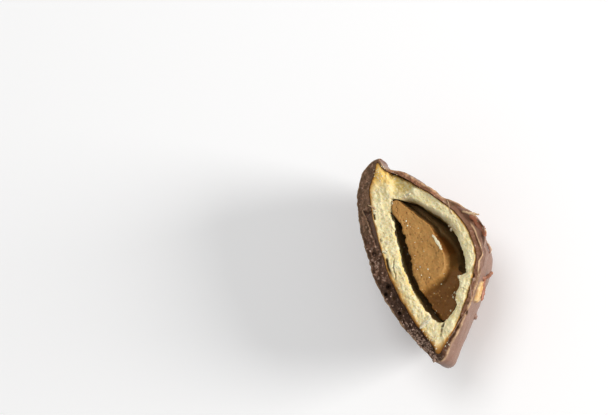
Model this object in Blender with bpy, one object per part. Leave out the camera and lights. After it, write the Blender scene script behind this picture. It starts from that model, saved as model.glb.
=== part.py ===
"""A halved chocolate covered pretzel nugget, lying on its back with the cut face up.

Three layers run through the piece and show at the cut: the chocolate coat, the hollow
pretzel crust inside it, and the loose lump of peanut butter in the hollow.
+Y runs along the cut from pinched end to pinched end, +X points to the domed crown of the
nugget and -X to its thick chocolate base, +Z is up. Lengths are in millimetres until a
vertex is made.
"""

from collections import namedtuple
from math import asin, cos, hypot, pi, sin

import bmesh
import bpy
from mathutils import Matrix, Vector, noise

MM = 0.001

# Driving sizes
CUT_HEIGHT = 13.4  # the cut face above the surface that the piece lies on
REST_CUT = 0.6  # how much of the rounded back is pressed flat where it rests
CLEARANCE = 0.15  # each layer stands back this much from the shared boundary
WELD = 0.002

# A side of an outline in the cut face: how far it bulges, where along the length, and how
# it falls away to each pinched tip as (1 - u ** power) ** bluntness
Fall = namedtuple("Fall", "power bluntness")
Side = namedtuple("Side", "bulge peak up down")

# A layer's surface: the y of its two tips, the x of its axis at each tip, its two sides, the
# radius of its pinched ends, its depth in the middle and at the tips, and the squareness of
# its cross section and of its long section
Layer = namedtuple(
    "Layer", "top bottom axis_top axis_bottom base crown nose depth tip_depth square ends"
)

COAT_OUTSIDE = Layer(
    top=15.6,
    bottom=-15.8,
    axis_top=0.0,
    axis_bottom=0.0,
    base=Side(5.9, -0.3, Fall(2.8, 0.5), Fall(1.2, 0.7)),
    crown=Side(10.6, -2.2, Fall(1.45, 1.0), Fall(1.0, 0.85)),
    nose=1.25,
    depth=CUT_HEIGHT + REST_CUT,
    tip_depth=4.6,
    square=2.1,
    ends=2.6,
)
CRUST_OUTSIDE = Layer(
    top=15.0,
    bottom=-14.6,
    axis_top=-0.2,
    axis_bottom=0.1,
    base=Side(3.6, 0.9, Fall(2.0, 0.5), Fall(1.6, 1.0)),
    crown=Side(9.7, -1.8, Fall(1.55, 1.1), Fall(1.05, 0.82)),
    nose=0.5,
    depth=12.2,
    tip_depth=4.0,
    square=2.1,
    ends=2.6,
)
HOLLOW = Layer(
    top=9.2,
    bottom=-10.6,
    axis_top=0.2,
    axis_bottom=1.9,
    base=Side(2.4, -3.0, Fall(1.1, 0.6), Fall(2.2, 0.6)),
    crown=Side(6.8, 0.0, Fall(1.8, 0.8), Fall(2.0, 0.85)),
    nose=0.4,
    depth=9.6,
    tip_depth=2.2,
    square=2.0,
    ends=2.0,
)

PEAK_ROUNDING = 0.18  # share of a side's length over which its peak is rounded
SWELL = 0.95  # the crown goes on bulging this much below the cut
BASE_SWELL = 0.2  # the base does so by this share of it
FOOT_SWELL = 0.75  # the bottom end of the coat bulges this much below the cut
FOOT_ASIDE = 0.6  # how far it bulges towards the crown, as a share of that
FOOT_FROM = -9.0  # the bulge starts here and grows towards the tip
FOOT_DEPTH = 3.2  # how far below the cut it is widest
LEAN = 0.02  # the cut runs a little askew to the nugget: each deeper section shifts by this
NOSE_BLEND = 5  # how tightly a pinched end's radius runs into its sides

# A scale of chocolate that stands proud of the crown just below its broken edge
LIP = 1.2
LIP_Y = 2.5
LIP_LENGTH = 4.2
LIP_DEPTH = 3.0

# A step of crumb that narrows the hollow on its crown side, sharp above and fading below
TOOTH = 0.85
TOOTH_TOP = -4.7
TOOTH_BOTTOM = -9.5
TOOTH_DEPTH = 2.6

# The lump of peanut butter: a flat broken face, a shoulder on its crown side that falls to a
# dark gap, and a sunken toe
LUMP_TOP = 8.6
LUMP_BOTTOM = -10.0
LUMP_GAP = 0.45  # between the lump and the hollow's floor
LEFT_GAP = 0.95  # the dark gap beside the base wall
LEFT_GAP_TOP = 6.0  # above this the lump leans on the base wall
FACE_RIGHT = 5.0  # the flat face's crown edge at y = 0
FACE_SLOPE = 0.17
FACE_TOP = 6.8  # the line that cuts the face's upper end off
FACE_TOP_SLOPE = 0.65
TOE_Y = -4.6
TOE_DROP = 2.1
SHOULDER_DROP = 3.6
SHOULDER_WIDE = 1.9
SHOULDER_NARROW = 0.5
SHOULDER_FROM = 5.0  # the shoulder is narrow above this y and wide below the next
SHOULDER_FULL = -1.0
LUMP_CRAG = 0.25
LUMP_CRAG_SIZE = 2.0
GAP_SHARE = 0.35  # the gap beside the base wall takes no more than this share of the hollow
LEAST_WIDTH = 0.4
LEAST_SHOULDER = 0.2
SINK_SHARE = 0.6  # the lump's top sinks no further than this share of the hollow's depth
BELLY_FROM = 0.3  # the belly widens from the top's width to the hollow's between these shares
BELLY_FULL = 0.8
TOP_SHARES = (0.85, 0.65, 0.45, 0.25, 0.1)  # where the top's own rows lie across the lump

# Broken edges
COAT_STEPS = 3  # rows of faces across the broken rim
CRUST_STEPS = 6
COAT_CRAG = 0.32
CRUST_CRAG = 0.38
CRAG_SIZE = 1.1
EDGE_SHARE = 0.6  # the edges of a broken rim rise and fall by this share of its height
CALM_FROM = 14.6  # the rim is even from here to each tip
LUMP_AMOUNT = 0.16  # slow unevenness of the whole piece
LUMP_SIZE = 7.0

# The bare patch where a flake of chocolate has come off the crown's flank
CHIP_PLACE = Vector((8.35, -7.0, CUT_HEIGHT - 2.5))
CHIP_RADII = Vector((1.3, 1.75, 1.25))

COAT_ROWS, COAT_COLUMNS = 40, 20
CRUST_ROWS, CRUST_COLUMNS = 34, 16
LUMP_ROWS, LUMP_COLUMNS = 26, 12

COLOURS = {
    "chocolate_coat": (0.115, 0.052, 0.032, 1.0),
    "pretzel_crust": (0.70, 0.52, 0.24, 1.0),
    "peanut_butter": (0.45, 0.22, 0.065, 1.0),
}
ROUGHNESS = {"chocolate_coat": 0.42, "pretzel_crust": 0.85, "peanut_butter": 0.6}


def mix(a, b, share):
    return a + (b - a) * share


def smooth_step(low, high, value):
    t = min(1.0, max(0.0, (value - low) / (high - low)))
    return t * t * (3 - 2 * t)


def fall_off(side, y, layer):
    """How far this side of an outline bulges at y, with its peak rounded."""
    above = y > side.peak
    tip, fall = (layer.top, side.up) if above else (layer.bottom, side.down)
    u = min(1.0, abs(y - side.peak) / abs(tip - side.peak))
    r = PEAK_ROUNDING
    u = (hypot(u, r) - r) / (hypot(1.0, r) - r)
    wedge = side.bulge * max(0.0, 1 - u**fall.power) ** fall.bluntness
    inside = tip - y if above else y - tip
    from_tip = min(max(0.0, inside), 2 * layer.nose)
    nose = (layer.nose**2 - (from_tip - layer.nose) ** 2) ** 0.5
    return (wedge**NOSE_BLEND + nose**NOSE_BLEND) ** (1 / NOSE_BLEND)


def depth_at(layer, y):
    middle = (layer.top + layer.bottom) / 2
    u = min(1.0, abs(y - middle) / ((layer.top - layer.bottom) / 2))
    reach = max(0.0, 1 - u**layer.ends) ** (1 / layer.ends)
    return mix(layer.tip_depth, layer.depth, reach)


def section_point(layer, y, angle, inset):
    """A point of a layer's surface: angle 0 is its base rim, pi its crown rim."""
    c, s = cos(angle), sin(angle)
    along = (layer.top - y) / (layer.top - layer.bottom)
    axis = mix(layer.axis_top, layer.axis_bottom, along)
    base = max(0.0, fall_off(layer.base, y, layer) - inset)
    crown = max(0.0, fall_off(layer.crown, y, layer) - inset)
    round_power = 2 / layer.square
    middle = axis + (crown - base) / 2
    across = (crown + base) / 2 * abs(c) ** round_power
    swell = SWELL * 4 * s * (1 - s) * crown / (layer.crown.bulge - inset)
    deep = (depth_at(layer, y) - inset) * s**round_power
    x = middle - across - BASE_SWELL * swell if c > 0 else middle + across + swell
    return Vector((x, y, CUT_HEIGHT - deep))


def row_places(low, high, count):
    """y of each row, closer together towards the tips."""
    return [(low + high) / 2 + (high - low) / 2 * cos(pi * i / count) for i in range(count + 1)]


def column_angles(count):
    return [pi * j / count for j in range(count + 1)]


def unevenness(p):
    """The slow dents and lumps that every layer of the piece shares."""
    q = p / LUMP_SIZE
    return LUMP_AMOUNT * Vector(
        (
            noise.noise(q + Vector((3.1, 0.0, 0.0))),
            noise.noise(q + Vector((0.0, 7.7, 0.0))),
            noise.noise(q + Vector((0.0, 0.0, 5.3))),
        )
    )


def crag(p, amount):
    """Height of the broken rim above the cut plane, which runs out at the pinched tips."""
    q = Vector((p.x, p.y, 0.0)) / CRAG_SIZE
    amount *= smooth_step(CALM_FROM, CALM_FROM - 2.5, abs(p.y))
    return amount * (noise.noise(q) + 0.5 * noise.noise(2.3 * q))


def lip(p):
    """How far the proud scale moves a point of the coat's flank outwards."""
    along = max(0.0, 1 - ((p.y - LIP_Y) / LIP_LENGTH) ** 2)
    down = smooth_step(LIP_DEPTH, 0.4 * LIP_DEPTH, CUT_HEIGHT - p.z)
    return LIP * along * down * smooth_step(3.0, 6.0, p.x)


def hollow_point(y, angle, inset):
    """A point of the hollow's wall, with the step of crumb on its crown side."""
    p = section_point(HOLLOW, y, angle, inset)
    if angle > pi / 2:
        along = smooth_step(TOOTH_TOP, TOOTH_TOP - 0.5, y) * smooth_step(TOOTH_BOTTOM, TOOTH_TOP, y)
        p.x -= TOOTH * along * smooth_step(TOOTH_DEPTH, 0.0, CUT_HEIGHT - p.z)
    return p


def coat_rim(p):
    """The coat breaks off lower on the crown side, where flakes have come away."""
    sunk = 0.35 * smooth_step(2.0, 7.0, p.x) * smooth_step(9.0, 5.0, p.y) + 0.7 * lip(p)
    ledge = 0.7 * smooth_step(8.3, 7.6, p.y) * smooth_step(3.0, 4.5, p.y)
    ledge *= smooth_step(-4.9, -4.2, p.x) * smooth_step(-1.0, -3.0, p.x)
    return crag(p, COAT_CRAG) - sunk - ledge


def crust_rim(p):
    """A ridge of crumb runs down from the top tip, and the crumb beside it is torn lower."""
    torn = 0.8 * smooth_step(0.2, 1.2, p.x + 0.12 * (13.0 - p.y))
    torn *= smooth_step(8.4, 10.5, p.y) * smooth_step(14.8, 13.4, p.y)
    return crag(p, CRUST_CRAG) - torn


def layer_rows(layer, rows, columns, inset):
    grid = []
    for y in row_places(layer.bottom + inset, layer.top - inset, rows):
        row = [section_point(layer, y, a, inset) for a in column_angles(columns)]
        if len(grid) in (0, rows):
            pinch(row)
        grid.append(row)
    return grid


def pinch(row):
    """Closes the section at a tip, where its two sides meet."""
    for j in range(len(row) // 2 + 1):
        row[j] = (row[j] + row[-1 - j]) / 2
        row[-1 - j] = row[j].copy()


def hollow_rows(rows, columns):
    grid = layer_rows(HOLLOW, rows, columns, 0.0)
    for row in grid[1:-1]:
        for j, angle in enumerate(column_angles(columns)):
            row[j] = hollow_point(row[j].y, angle, 0.0)
    return grid


def coat_outside():
    grid = layer_rows(COAT_OUTSIDE, COAT_ROWS, COAT_COLUMNS, 0.0)
    for row in grid:
        foot = FOOT_SWELL * smooth_step(FOOT_FROM, COAT_OUTSIDE.bottom, row[0].y)
        for p in row:
            deep = min(2.0, (CUT_HEIGHT - p.z) / FOOT_DEPTH)
            out = foot * deep * (2 - deep)
            p.x += lip(p) + FOOT_ASIDE * out
            p.y -= out
    return grid


def join_grid(bm, grid, inwards=False):
    """Quads between neighbouring points of a grid of vertices."""
    for first, second in zip(grid, grid[1:]):
        for j in range(len(first) - 1):
            ring = [first[j], first[j + 1], second[j + 1], second[j]]
            bm.faces.new(reversed(ring) if inwards else ring)


def shell_mesh(name, outside, inside, rim_height, steps):
    """A bowl from the grids of its two skins, joined by a broken rim."""
    bm = bmesh.new()

    def place(p):
        return bm.verts.new(p * MM)

    for grid in (outside, inside):
        for row in grid:
            for end in (0, -1):
                row[end] = row[end] + Vector((0.0, 0.0, EDGE_SHARE * rim_height(row[end])))
    out = [[place(p) for p in row] for row in outside]
    inn = [[place(p) for p in row] for row in inside]
    join_grid(bm, out)
    join_grid(bm, inn, inwards=True)
    for end in (0, -1):
        strip = []
        strip.append([row[end] for row in out])
        for k in range(1, steps):
            line = []
            for a, b in zip(outside, inside):
                p = a[end].lerp(b[end], k / steps)
                line.append(place(Vector((p.x, p.y, CUT_HEIGHT + rim_height(p)))))
            strip.append(line)
        strip.append([row[end] for row in inn])
        join_grid(bm, strip, inwards=(end == 0))
    bmesh.ops.remove_doubles(bm, verts=bm.verts, dist=WELD * MM)
    bmesh.ops.recalc_face_normals(bm, faces=bm.faces)
    mesh = bpy.data.meshes.new(name)
    bm.to_mesh(mesh)
    bm.free()
    return mesh


def toe_share(y):
    return smooth_step(TOE_Y + 0.8, TOE_Y - 0.8, y)


def face_edge(y):
    """Crown edge of the lump's flat face."""
    return min(FACE_RIGHT - FACE_SLOPE * y, FACE_TOP - FACE_TOP_SLOPE * y)


def lump_top(x, y, right):
    """Height of the lump's broken top, whose crown edge is at x = right."""
    toe = toe_share(y)
    ridge = min(face_edge(y), right - LEAST_SHOULDER)
    fall = smooth_step(ridge, right, x)
    drop = TOE_DROP * toe + SHOULDER_DROP * (1 - toe) * fall
    deepest = depth_at(HOLLOW, y) - LUMP_GAP
    bump = LUMP_CRAG * noise.noise(Vector((x, y, 0.0)) / LUMP_CRAG_SIZE)
    return CUT_HEIGHT - min(drop, SINK_SHARE * deepest) + bump


def lump_row(y):
    """One closed cross-section of the peanut butter: a broken top over a rounded belly."""
    wall_left, wall_right = (hollow_point(y, a, LUMP_GAP).x for a in (0.0, pi))
    gap = LEFT_GAP * smooth_step(LEFT_GAP_TOP + 1.5, LEFT_GAP_TOP - 1.5, y)
    left = wall_left + min(gap, GAP_SHARE * (wall_right - wall_left))
    shoulder = mix(SHOULDER_NARROW, SHOULDER_WIDE, smooth_step(SHOULDER_FROM, SHOULDER_FULL, y))
    right = mix(face_edge(y) + shoulder, wall_right, toe_share(y))
    right = max(left + LEAST_WIDTH, min(right, wall_right))

    deepest = depth_at(HOLLOW, y) - LUMP_GAP

    def wall_angle(x):
        """Where the hollow's section is as deep as the lump's top is at x."""
        share = max(0.0, CUT_HEIGHT - lump_top(x, y, right)) / deepest
        return asin(share ** (HOLLOW.square / 2))

    first, last = wall_angle(left), pi - wall_angle(right)
    belly = []
    for j in range(LUMP_COLUMNS + 1):
        p = hollow_point(y, mix(first, last, j / LUMP_COLUMNS), LUMP_GAP)
        deep = smooth_step(BELLY_FROM * deepest, BELLY_FULL * deepest, CUT_HEIGHT - p.z)
        p.x = max(p.x, mix(left, wall_left, deep))
        p.x = min(p.x, mix(right, wall_right, deep))
        belly.append(p)
    for end in (belly[0], belly[-1]):
        end.z = lump_top(end.x, y, right)
    top = []
    for share in TOP_SHARES:
        x = mix(belly[0].x, belly[-1].x, share)
        top.append(Vector((x, y, lump_top(x, y, right))))
    return belly + top


def lump_mesh(name):
    bm = bmesh.new()
    places = row_places(LUMP_BOTTOM, LUMP_TOP, LUMP_ROWS)
    rings = [[bm.verts.new(p * MM) for p in lump_row(y)] for y in places]
    for first, second in zip(rings, rings[1:]):
        count = len(first)
        for j in range(count):
            k = (j + 1) % count
            bm.faces.new([first[j], first[k], second[k], second[j]])
    bm.faces.new(rings[0])
    bm.faces.new(reversed(rings[-1]))
    bmesh.ops.remove_doubles(bm, verts=bm.verts, dist=WELD * MM)
    bmesh.ops.triangulate(bm, faces=[f for f in bm.faces if len(f.verts) > 4])
    bmesh.ops.recalc_face_normals(bm, faces=bm.faces)
    mesh = bpy.data.meshes.new(name)
    bm.to_mesh(mesh)
    bm.free()
    return mesh


def material(name):
    made = bpy.data.materials.new(name)
    made.use_nodes = True
    shader = made.node_tree.nodes["Principled BSDF"]
    shader.inputs["Base Color"].default_value = COLOURS[name]
    shader.inputs["Roughness"].default_value = ROUGHNESS[name]
    shader.inputs["Metallic"].default_value = 0.0
    return made


def add_object(name, mesh):
    obj = bpy.data.objects.new(name, mesh)
    bpy.context.scene.collection.objects.link(obj)
    if name in COLOURS:
        mesh.materials.append(material(name))
    mesh.shade_smooth()
    return obj


def settle(objects, resting):
    """Adds the shared unevenness and lean, flattens the resting spot, and centres the piece."""
    for obj in objects:
        for v in obj.data.vertices:
            p = v.co / MM
            deep = CUT_HEIGHT - p.z
            v.co = (p + unevenness(p) + LEAN * deep * Vector((-1.0, 1.0, 0.0))) * MM
    for v in resting.data.vertices:
        v.co.z = max(v.co.z, 0.0)
    low = [min(v.co[k] for v in resting.data.vertices) for k in range(3)]
    high = [max(v.co[k] for v in resting.data.vertices) for k in range(3)]
    shift = Vector((-(low[0] + high[0]) / 2, -(low[1] + high[1]) / 2, 0.0))
    for obj in objects:
        obj.data.transform(Matrix.Translation(shift))
    return shift


def chip_cutter(shift):
    """An uneven ball that takes a flake out of the coat's flank."""
    bm = bmesh.new()
    bmesh.ops.create_icosphere(bm, subdivisions=2, radius=1.0)
    for v in bm.verts:
        grow = 1 + 0.3 * noise.noise(v.co * 2.1)
        v.co = Vector([v.co[k] * CHIP_RADII[k] * grow for k in range(3)])
        v.co = (v.co + CHIP_PLACE) * MM + shift
    mesh = bpy.data.meshes.new("chip_cutter")
    bm.to_mesh(mesh)
    bm.free()
    cutter = add_object("chip_cutter", mesh)
    cutter.hide_render = True
    cutter.display_type = "WIRE"
    return cutter


def main():
    for obj in list(bpy.data.objects):
        bpy.data.objects.remove(obj)

    coat = add_object(
        "chocolate_coat",
        shell_mesh(
            "chocolate_coat",
            coat_outside(),
            layer_rows(CRUST_OUTSIDE, COAT_ROWS, COAT_COLUMNS, -CLEARANCE),
            coat_rim,
            COAT_STEPS,
        ),
    )
    crust = add_object(
        "pretzel_crust",
        shell_mesh(
            "pretzel_crust",
            layer_rows(CRUST_OUTSIDE, CRUST_ROWS, CRUST_COLUMNS, CLEARANCE),
            hollow_rows(CRUST_ROWS, CRUST_COLUMNS),
            crust_rim,
            CRUST_STEPS,
        ),
    )
    filling = add_object("peanut_butter", lump_mesh("peanut_butter"))
    shift = settle([coat, crust, filling], coat)
    cut = coat.modifiers.new("bare_patch", "BOOLEAN")
    cut.operation = "DIFFERENCE"
    cut.object = chip_cutter(shift)


main()
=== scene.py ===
"""The looks of a halved chocolate covered pretzel nugget that lies with its cut face up.

Three fine skins replace the plain nodes and keep their outlines: the chocolate coat, the
pretzel crust and the lump of peanut butter. Crumbs, salt and flakes lie on them.
+Y runs along the cut from pinched end to pinched end, +X points to the domed crown and -X to
the thick chocolate base, +Z is up. Lengths are in millimetres until a mesh is made.
"""

from collections import namedtuple
from itertools import product
from math import cos, hypot, pi, radians, sin

import bpy
import numpy as np
from mathutils import Matrix, Vector, noise
from mathutils.bvhtree import BVHTree


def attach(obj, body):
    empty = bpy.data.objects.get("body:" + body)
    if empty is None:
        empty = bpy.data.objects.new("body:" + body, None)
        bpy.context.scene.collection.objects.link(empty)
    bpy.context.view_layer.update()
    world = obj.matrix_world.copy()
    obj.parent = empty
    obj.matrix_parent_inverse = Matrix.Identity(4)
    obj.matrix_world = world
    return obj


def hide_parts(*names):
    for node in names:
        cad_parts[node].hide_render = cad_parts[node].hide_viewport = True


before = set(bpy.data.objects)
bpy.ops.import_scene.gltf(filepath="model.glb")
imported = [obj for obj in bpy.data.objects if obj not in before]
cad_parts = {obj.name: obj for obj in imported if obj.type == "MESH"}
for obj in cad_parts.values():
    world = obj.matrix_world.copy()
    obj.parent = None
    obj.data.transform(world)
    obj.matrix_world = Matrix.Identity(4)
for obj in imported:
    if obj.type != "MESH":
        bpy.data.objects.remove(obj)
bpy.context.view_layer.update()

MM = 0.001

# Sizes of the part
CUT_HEIGHT = 13.4
REST_CUT = 0.6

Fall = namedtuple("Fall", "power bluntness")
Side = namedtuple("Side", "bulge peak up down")
Layer = namedtuple(
    "Layer", "top bottom axis_top axis_bottom base crown nose depth tip_depth square ends"
)

COAT_OUTSIDE = Layer(
    top=15.6, bottom=-15.8, axis_top=0.0, axis_bottom=0.0,
    base=Side(5.9, -0.3, Fall(2.8, 0.5), Fall(1.2, 0.7)),
    crown=Side(10.6, -2.2, Fall(1.45, 1.0), Fall(1.0, 0.85)),
    nose=1.25, depth=CUT_HEIGHT + REST_CUT, tip_depth=4.6, square=2.1, ends=2.6,
)
CRUST_OUTSIDE = Layer(
    top=15.0, bottom=-14.6, axis_top=-0.2, axis_bottom=0.1,
    base=Side(3.6, 0.9, Fall(2.0, 0.5), Fall(1.6, 1.0)),
    crown=Side(9.7, -1.8, Fall(1.55, 1.1), Fall(1.05, 0.82)),
    nose=0.5, depth=12.2, tip_depth=4.0, square=2.1, ends=2.6,
)
HOLLOW = Layer(
    top=9.2, bottom=-10.6, axis_top=0.2, axis_bottom=1.9,
    base=Side(2.4, -3.0, Fall(1.1, 0.6), Fall(2.2, 0.6)),
    crown=Side(6.8, 0.0, Fall(1.8, 0.8), Fall(2.0, 0.85)),
    nose=0.4, depth=9.6, tip_depth=2.2, square=2.0, ends=2.0,
)

PEAK_ROUNDING = 0.18
NOSE_BLEND = 5
SWELL, BASE_SWELL = 0.95, 0.2
FOOT_SWELL, FOOT_ASIDE, FOOT_FROM, FOOT_DEPTH = 0.75, 0.6, -9.0, 3.2
LEAN = 0.02
LUMP_AMOUNT, LUMP_SIZE = 0.16, 7.0
CAD_ROWS, CAD_COLUMNS = 40, 20

# The proud scale on the coat's crown side, and the tooth of the crust that bites into the hollow
LIP, LIP_Y, LIP_LENGTH, LIP_DEPTH = 1.2, 2.5, 4.2, 3.0
TOOTH, TOOTH_TOP, TOOTH_BOTTOM, TOOTH_DEPTH = 0.85, -4.7, -9.5, 2.6
TOOTH_STANDS_OUT = 1.4  # times as far as the part's own

# The lump of peanut butter
LUMP_TOP, LUMP_BOTTOM = 8.85, -10.0
LUMP_GAP, END_GAP = 0.45, 0.12
LEFT_GAP, LEFT_GAP_TOP, LEFT_GAP_LESS = 0.95, 6.0, 0.35
FACE_RIGHT, FACE_SLOPE = 5.0, 0.17
FACE_TOP, FACE_TOP_SLOPE = 6.8, 0.65
FACE_CORNER = 0.85
TOE_Y, TOE_DROP = -4.6, 2.1
SHOULDER_DROP = 3.6
SHOULDER_TOP, SHOULDER_BELOW = 0.3, 1.45
ROUNDED_EDGE = 0.16

# The bare patch where the coat has come off the crown side's flank
PATCH_PLACE = np.array((7.75, -7.5, CUT_HEIGHT - 2.2))
PATCH_RADII = np.array((1.6, 2.0, 1.7))

# The crust's golden tip is narrower than the part's own, and so is the coat on its crown side
TIP_X, TIP_FROM, TIP_PINCH = -0.35, 11.5, 0.6
NOSE_FROM, NOSE_FULL, NOSE_PINCH = 12.2, 14.6, 0.62

# How far the flank under the facet is drawn in
COAT_DRAWN_IN = np.array((0.85, 0.75))
CRUST_DRAWN_IN = np.array((0.6, 0.5))

# How far the hollow's wall on the crown side is moved in, and how much of that at the rim
WALL_SLIDE, WALL_SLIDE_AT_RIM = 1.15, 0.42

# The small sideways wobble that every layer shares near the cut
WANDER, WANDER_SIZE, WANDER_SEED = 0.09, 1.3, 91

# How finely the skins are cut
COAT_ROWS, COAT_COLUMNS, COAT_INNER, COAT_STEPS = 300, 128, 24, 26
CRUST_ROWS, CRUST_OUTER, CRUST_COLUMNS, CRUST_STEPS = 290, 24, 64, 36
LUMP_ROWS, LUMP_TOPS, LUMP_BELLY = 200, 72, 44
SEAM = 0.02  # half the seam between two neighbouring skins

# The photograph's frame and where the camera stands
PHOTO_WIDTH, PHOTO_HEIGHT = 608, 415
CENTRE_X, CENTRE_Y = 409.0, 258.0  # the pixel where the middle of the cut lies
PIXELS_PER_MM = 6.9
DISTANCE = 300.0
OFF_NORMAL, AZIMUTH, ROLL = 20.0, -45.0, 16.5
SENSOR = 36.0


def mix(a, b, share):
    return a + (b - a) * share


def ramp(low, high, value):
    """0 at low and 1 at high, with soft ends. low may be the larger of the two."""
    t = np.clip((value - low) / (high - low), 0.0, 1.0)
    return t * t * (3 - 2 * t)


def window(value, start, risen, falling, end):
    """0 up to start, 1 from risen to falling, 0 again from end."""
    return ramp(start, risen, value) * ramp(end, falling, value)


def bell(value, middle, width):
    return np.exp(-(((value - middle) / width) ** 2))


def depth_of(points):
    """How far points lie below the cut plane."""
    return CUT_HEIGHT - points[..., 2]


# Scattered numbers and the noises made from them

HASH_STEPS = (374761393, 668265263, 2147483647)
HASH_SEED, HASH_MIX = 974634777, 1274126177
MASK = 0xFFFFFFFF


def hash_at(cell, seed):
    """A repeatable number from 0 to 1 for each whole-numbered cell."""
    h = np.full(cell.shape[:-1], (seed * HASH_SEED) & MASK, np.int64)
    for k in range(cell.shape[-1]):
        h = (h + cell[..., k] * HASH_STEPS[k]) & MASK
    h = ((h ^ (h >> 13)) * HASH_MIX) & MASK
    h = h ^ (h >> 16)
    return (h & 0xFFFFFF) / 0xFFFFFF


def soft_noise(points, size, seed):
    """Smooth noise from -1 to 1 whose features are about size across."""
    q = points / size + 17.3 * seed
    low = np.floor(q)
    f = q - low
    f = f * f * f * (f * (f * 6 - 15) + 10)
    cell = low.astype(np.int64)
    total = 0.0
    for corner in product((0, 1), repeat=points.shape[-1]):
        weight = np.prod(np.where(np.array(corner, bool), f, 1 - f), axis=-1)
        total = total + weight * hash_at(cell + np.array(corner), seed)
    return 2 * total - 1


def turned(points):
    """The points turned in x and y, so that finer noise doesn't line up with coarser."""
    x, y = points[..., 0], points[..., 1]
    out = points.copy()
    out[..., 0] = 0.8 * x - 0.6 * y
    out[..., 1] = 0.6 * x + 0.8 * y
    return out


def rough_noise(points, size, seed, octaves=3, gain=0.5):
    total, amount = 0.0, 1.0
    for k in range(octaves):
        total = total + amount * soft_noise(points, size / 2**k, seed + k)
        points = turned(points)
        amount *= gain
    return total


def cells(points, size, seed):
    """Distance to the nearest and next nearest scattered seed, and the nearest one's number."""
    q = points / size
    low = np.floor(q).astype(np.int64)
    first = np.full(q.shape[:-1], 9.0)
    second = first.copy()
    own = np.zeros(q.shape[:-1])
    dims = points.shape[-1]
    for step in product((-1, 0, 1), repeat=dims):
        cell = low + np.array(step)
        jitter = np.stack([hash_at(cell, seed + k) for k in range(dims)], axis=-1)
        away = np.linalg.norm(cell + jitter - q, axis=-1)
        closer = away < first
        second = np.where(closer, first, np.minimum(second, away))
        own = np.where(closer, hash_at(cell, seed + dims), own)
        first = np.where(closer, away, first)
    return first, second, own


# Shapes that the three layers share with the part


def fall_off(side, y, layer):
    """How far this side of an outline bulges at y, with its peak rounded."""
    above = y > side.peak
    tip = np.where(above, layer.top, layer.bottom)
    power = np.where(above, side.up.power, side.down.power)
    bluntness = np.where(above, side.up.bluntness, side.down.bluntness)
    u = np.minimum(1.0, np.abs(y - side.peak) / np.abs(tip - side.peak))
    r = PEAK_ROUNDING
    u = (np.hypot(u, r) - r) / (hypot(1.0, r) - r)
    wedge = side.bulge * np.maximum(0.0, 1 - u**power) ** bluntness
    from_tip = np.clip(np.where(above, tip - y, y - tip), 0.0, 2 * layer.nose)
    nose = np.maximum(0.0, layer.nose**2 - (from_tip - layer.nose) ** 2) ** 0.5
    return (wedge**NOSE_BLEND + nose**NOSE_BLEND) ** (1 / NOSE_BLEND)


def axis_at(layer, y):
    return mix(layer.axis_top, layer.axis_bottom, (layer.top - y) / (layer.top - layer.bottom))


def depth_at(layer, y):
    middle = (layer.top + layer.bottom) / 2
    u = np.minimum(1.0, np.abs(y - middle) / ((layer.top - layer.bottom) / 2))
    reach = np.maximum(0.0, 1 - u**layer.ends) ** (1 / layer.ends)
    return mix(layer.tip_depth, layer.depth, reach)


def section(layer, y, angle, inset):
    """Points of a layer's surface: angle 0 is its base rim, pi its crown rim."""
    c, s = np.cos(angle), np.maximum(0.0, np.sin(angle))
    base = np.maximum(0.0, fall_off(layer.base, y, layer) - inset)
    crown = np.maximum(0.0, fall_off(layer.crown, y, layer) - inset)
    middle = axis_at(layer, y) + (crown - base) / 2
    across = (crown + base) / 2 * np.abs(c) ** (2 / layer.square)
    swell = SWELL * 4 * s * (1 - s) * crown / (layer.crown.bulge - inset)
    deep = (depth_at(layer, y) - inset) * s ** (2 / layer.square)
    x = np.where(c > 0, middle - across - BASE_SWELL * swell, middle + across + swell)
    return np.stack([x, y + 0 * x, CUT_HEIGHT - deep], axis=-1)


def drawn_in(p):
    """1 where the flank under the crown side's facet is drawn in, so that the facet hides it."""
    down = window(depth_of(p), 0.15, 1.3, 7.0, 12.0)
    return (window(p[..., 1], 0.4, 3.2, 8.0, 11.0) * down * ramp(2.0, 5.0, p[..., 0]))[..., None]


def close_ends(grid):
    """Brings a layer's two sides together at both tips."""
    for end in (0, -1):
        grid[end] = (grid[end] + grid[end, ::-1]) / 2
    return grid


def skin(layer, places, angles, inset):
    """Rows of points along a layer's surface, each closed where its two sides meet at a tip."""
    y = mix(layer.bottom + inset, layer.top - inset, places)[:, None]
    grid = section(layer, y, angles[None, :], inset)
    if layer is CRUST_OUTSIDE:
        pinch = ramp(TIP_FROM, layer.top, grid[..., 1]) * TIP_PINCH
        grid[..., 0] = mix(grid[..., 0], TIP_X, pinch)
        grid[..., :2] -= drawn_in(grid) * CRUST_DRAWN_IN
    return close_ends(grid)


def lip(p):
    """How far the proud scale moves a point of the coat's flank outwards."""
    along = np.maximum(0.0, 1 - ((p[..., 1] - LIP_Y) / LIP_LENGTH) ** 2)
    down = ramp(LIP_DEPTH, 0.4 * LIP_DEPTH, depth_of(p))
    return LIP * along * down * ramp(3.0, 6.0, p[..., 0])


def coat_outside(places, angles):
    grid = skin(COAT_OUTSIDE, places, angles, 0.0)
    foot = FOOT_SWELL * ramp(FOOT_FROM, COAT_OUTSIDE.bottom, grid[:, :1, 1])
    deep = np.minimum(2.0, depth_of(grid) / FOOT_DEPTH)
    out = foot * deep * (2 - deep)
    grid[..., 0] += lip(grid) + FOOT_ASIDE * out
    grid[..., 1] -= out
    return grid


def tooth(y, depth, top_width=0.5):
    along = window(y, TOOTH_BOTTOM, TOOTH_TOP, TOOTH_TOP - top_width, TOOTH_TOP)
    return TOOTH * along * ramp(TOOTH_DEPTH, 0.0, depth)


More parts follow.
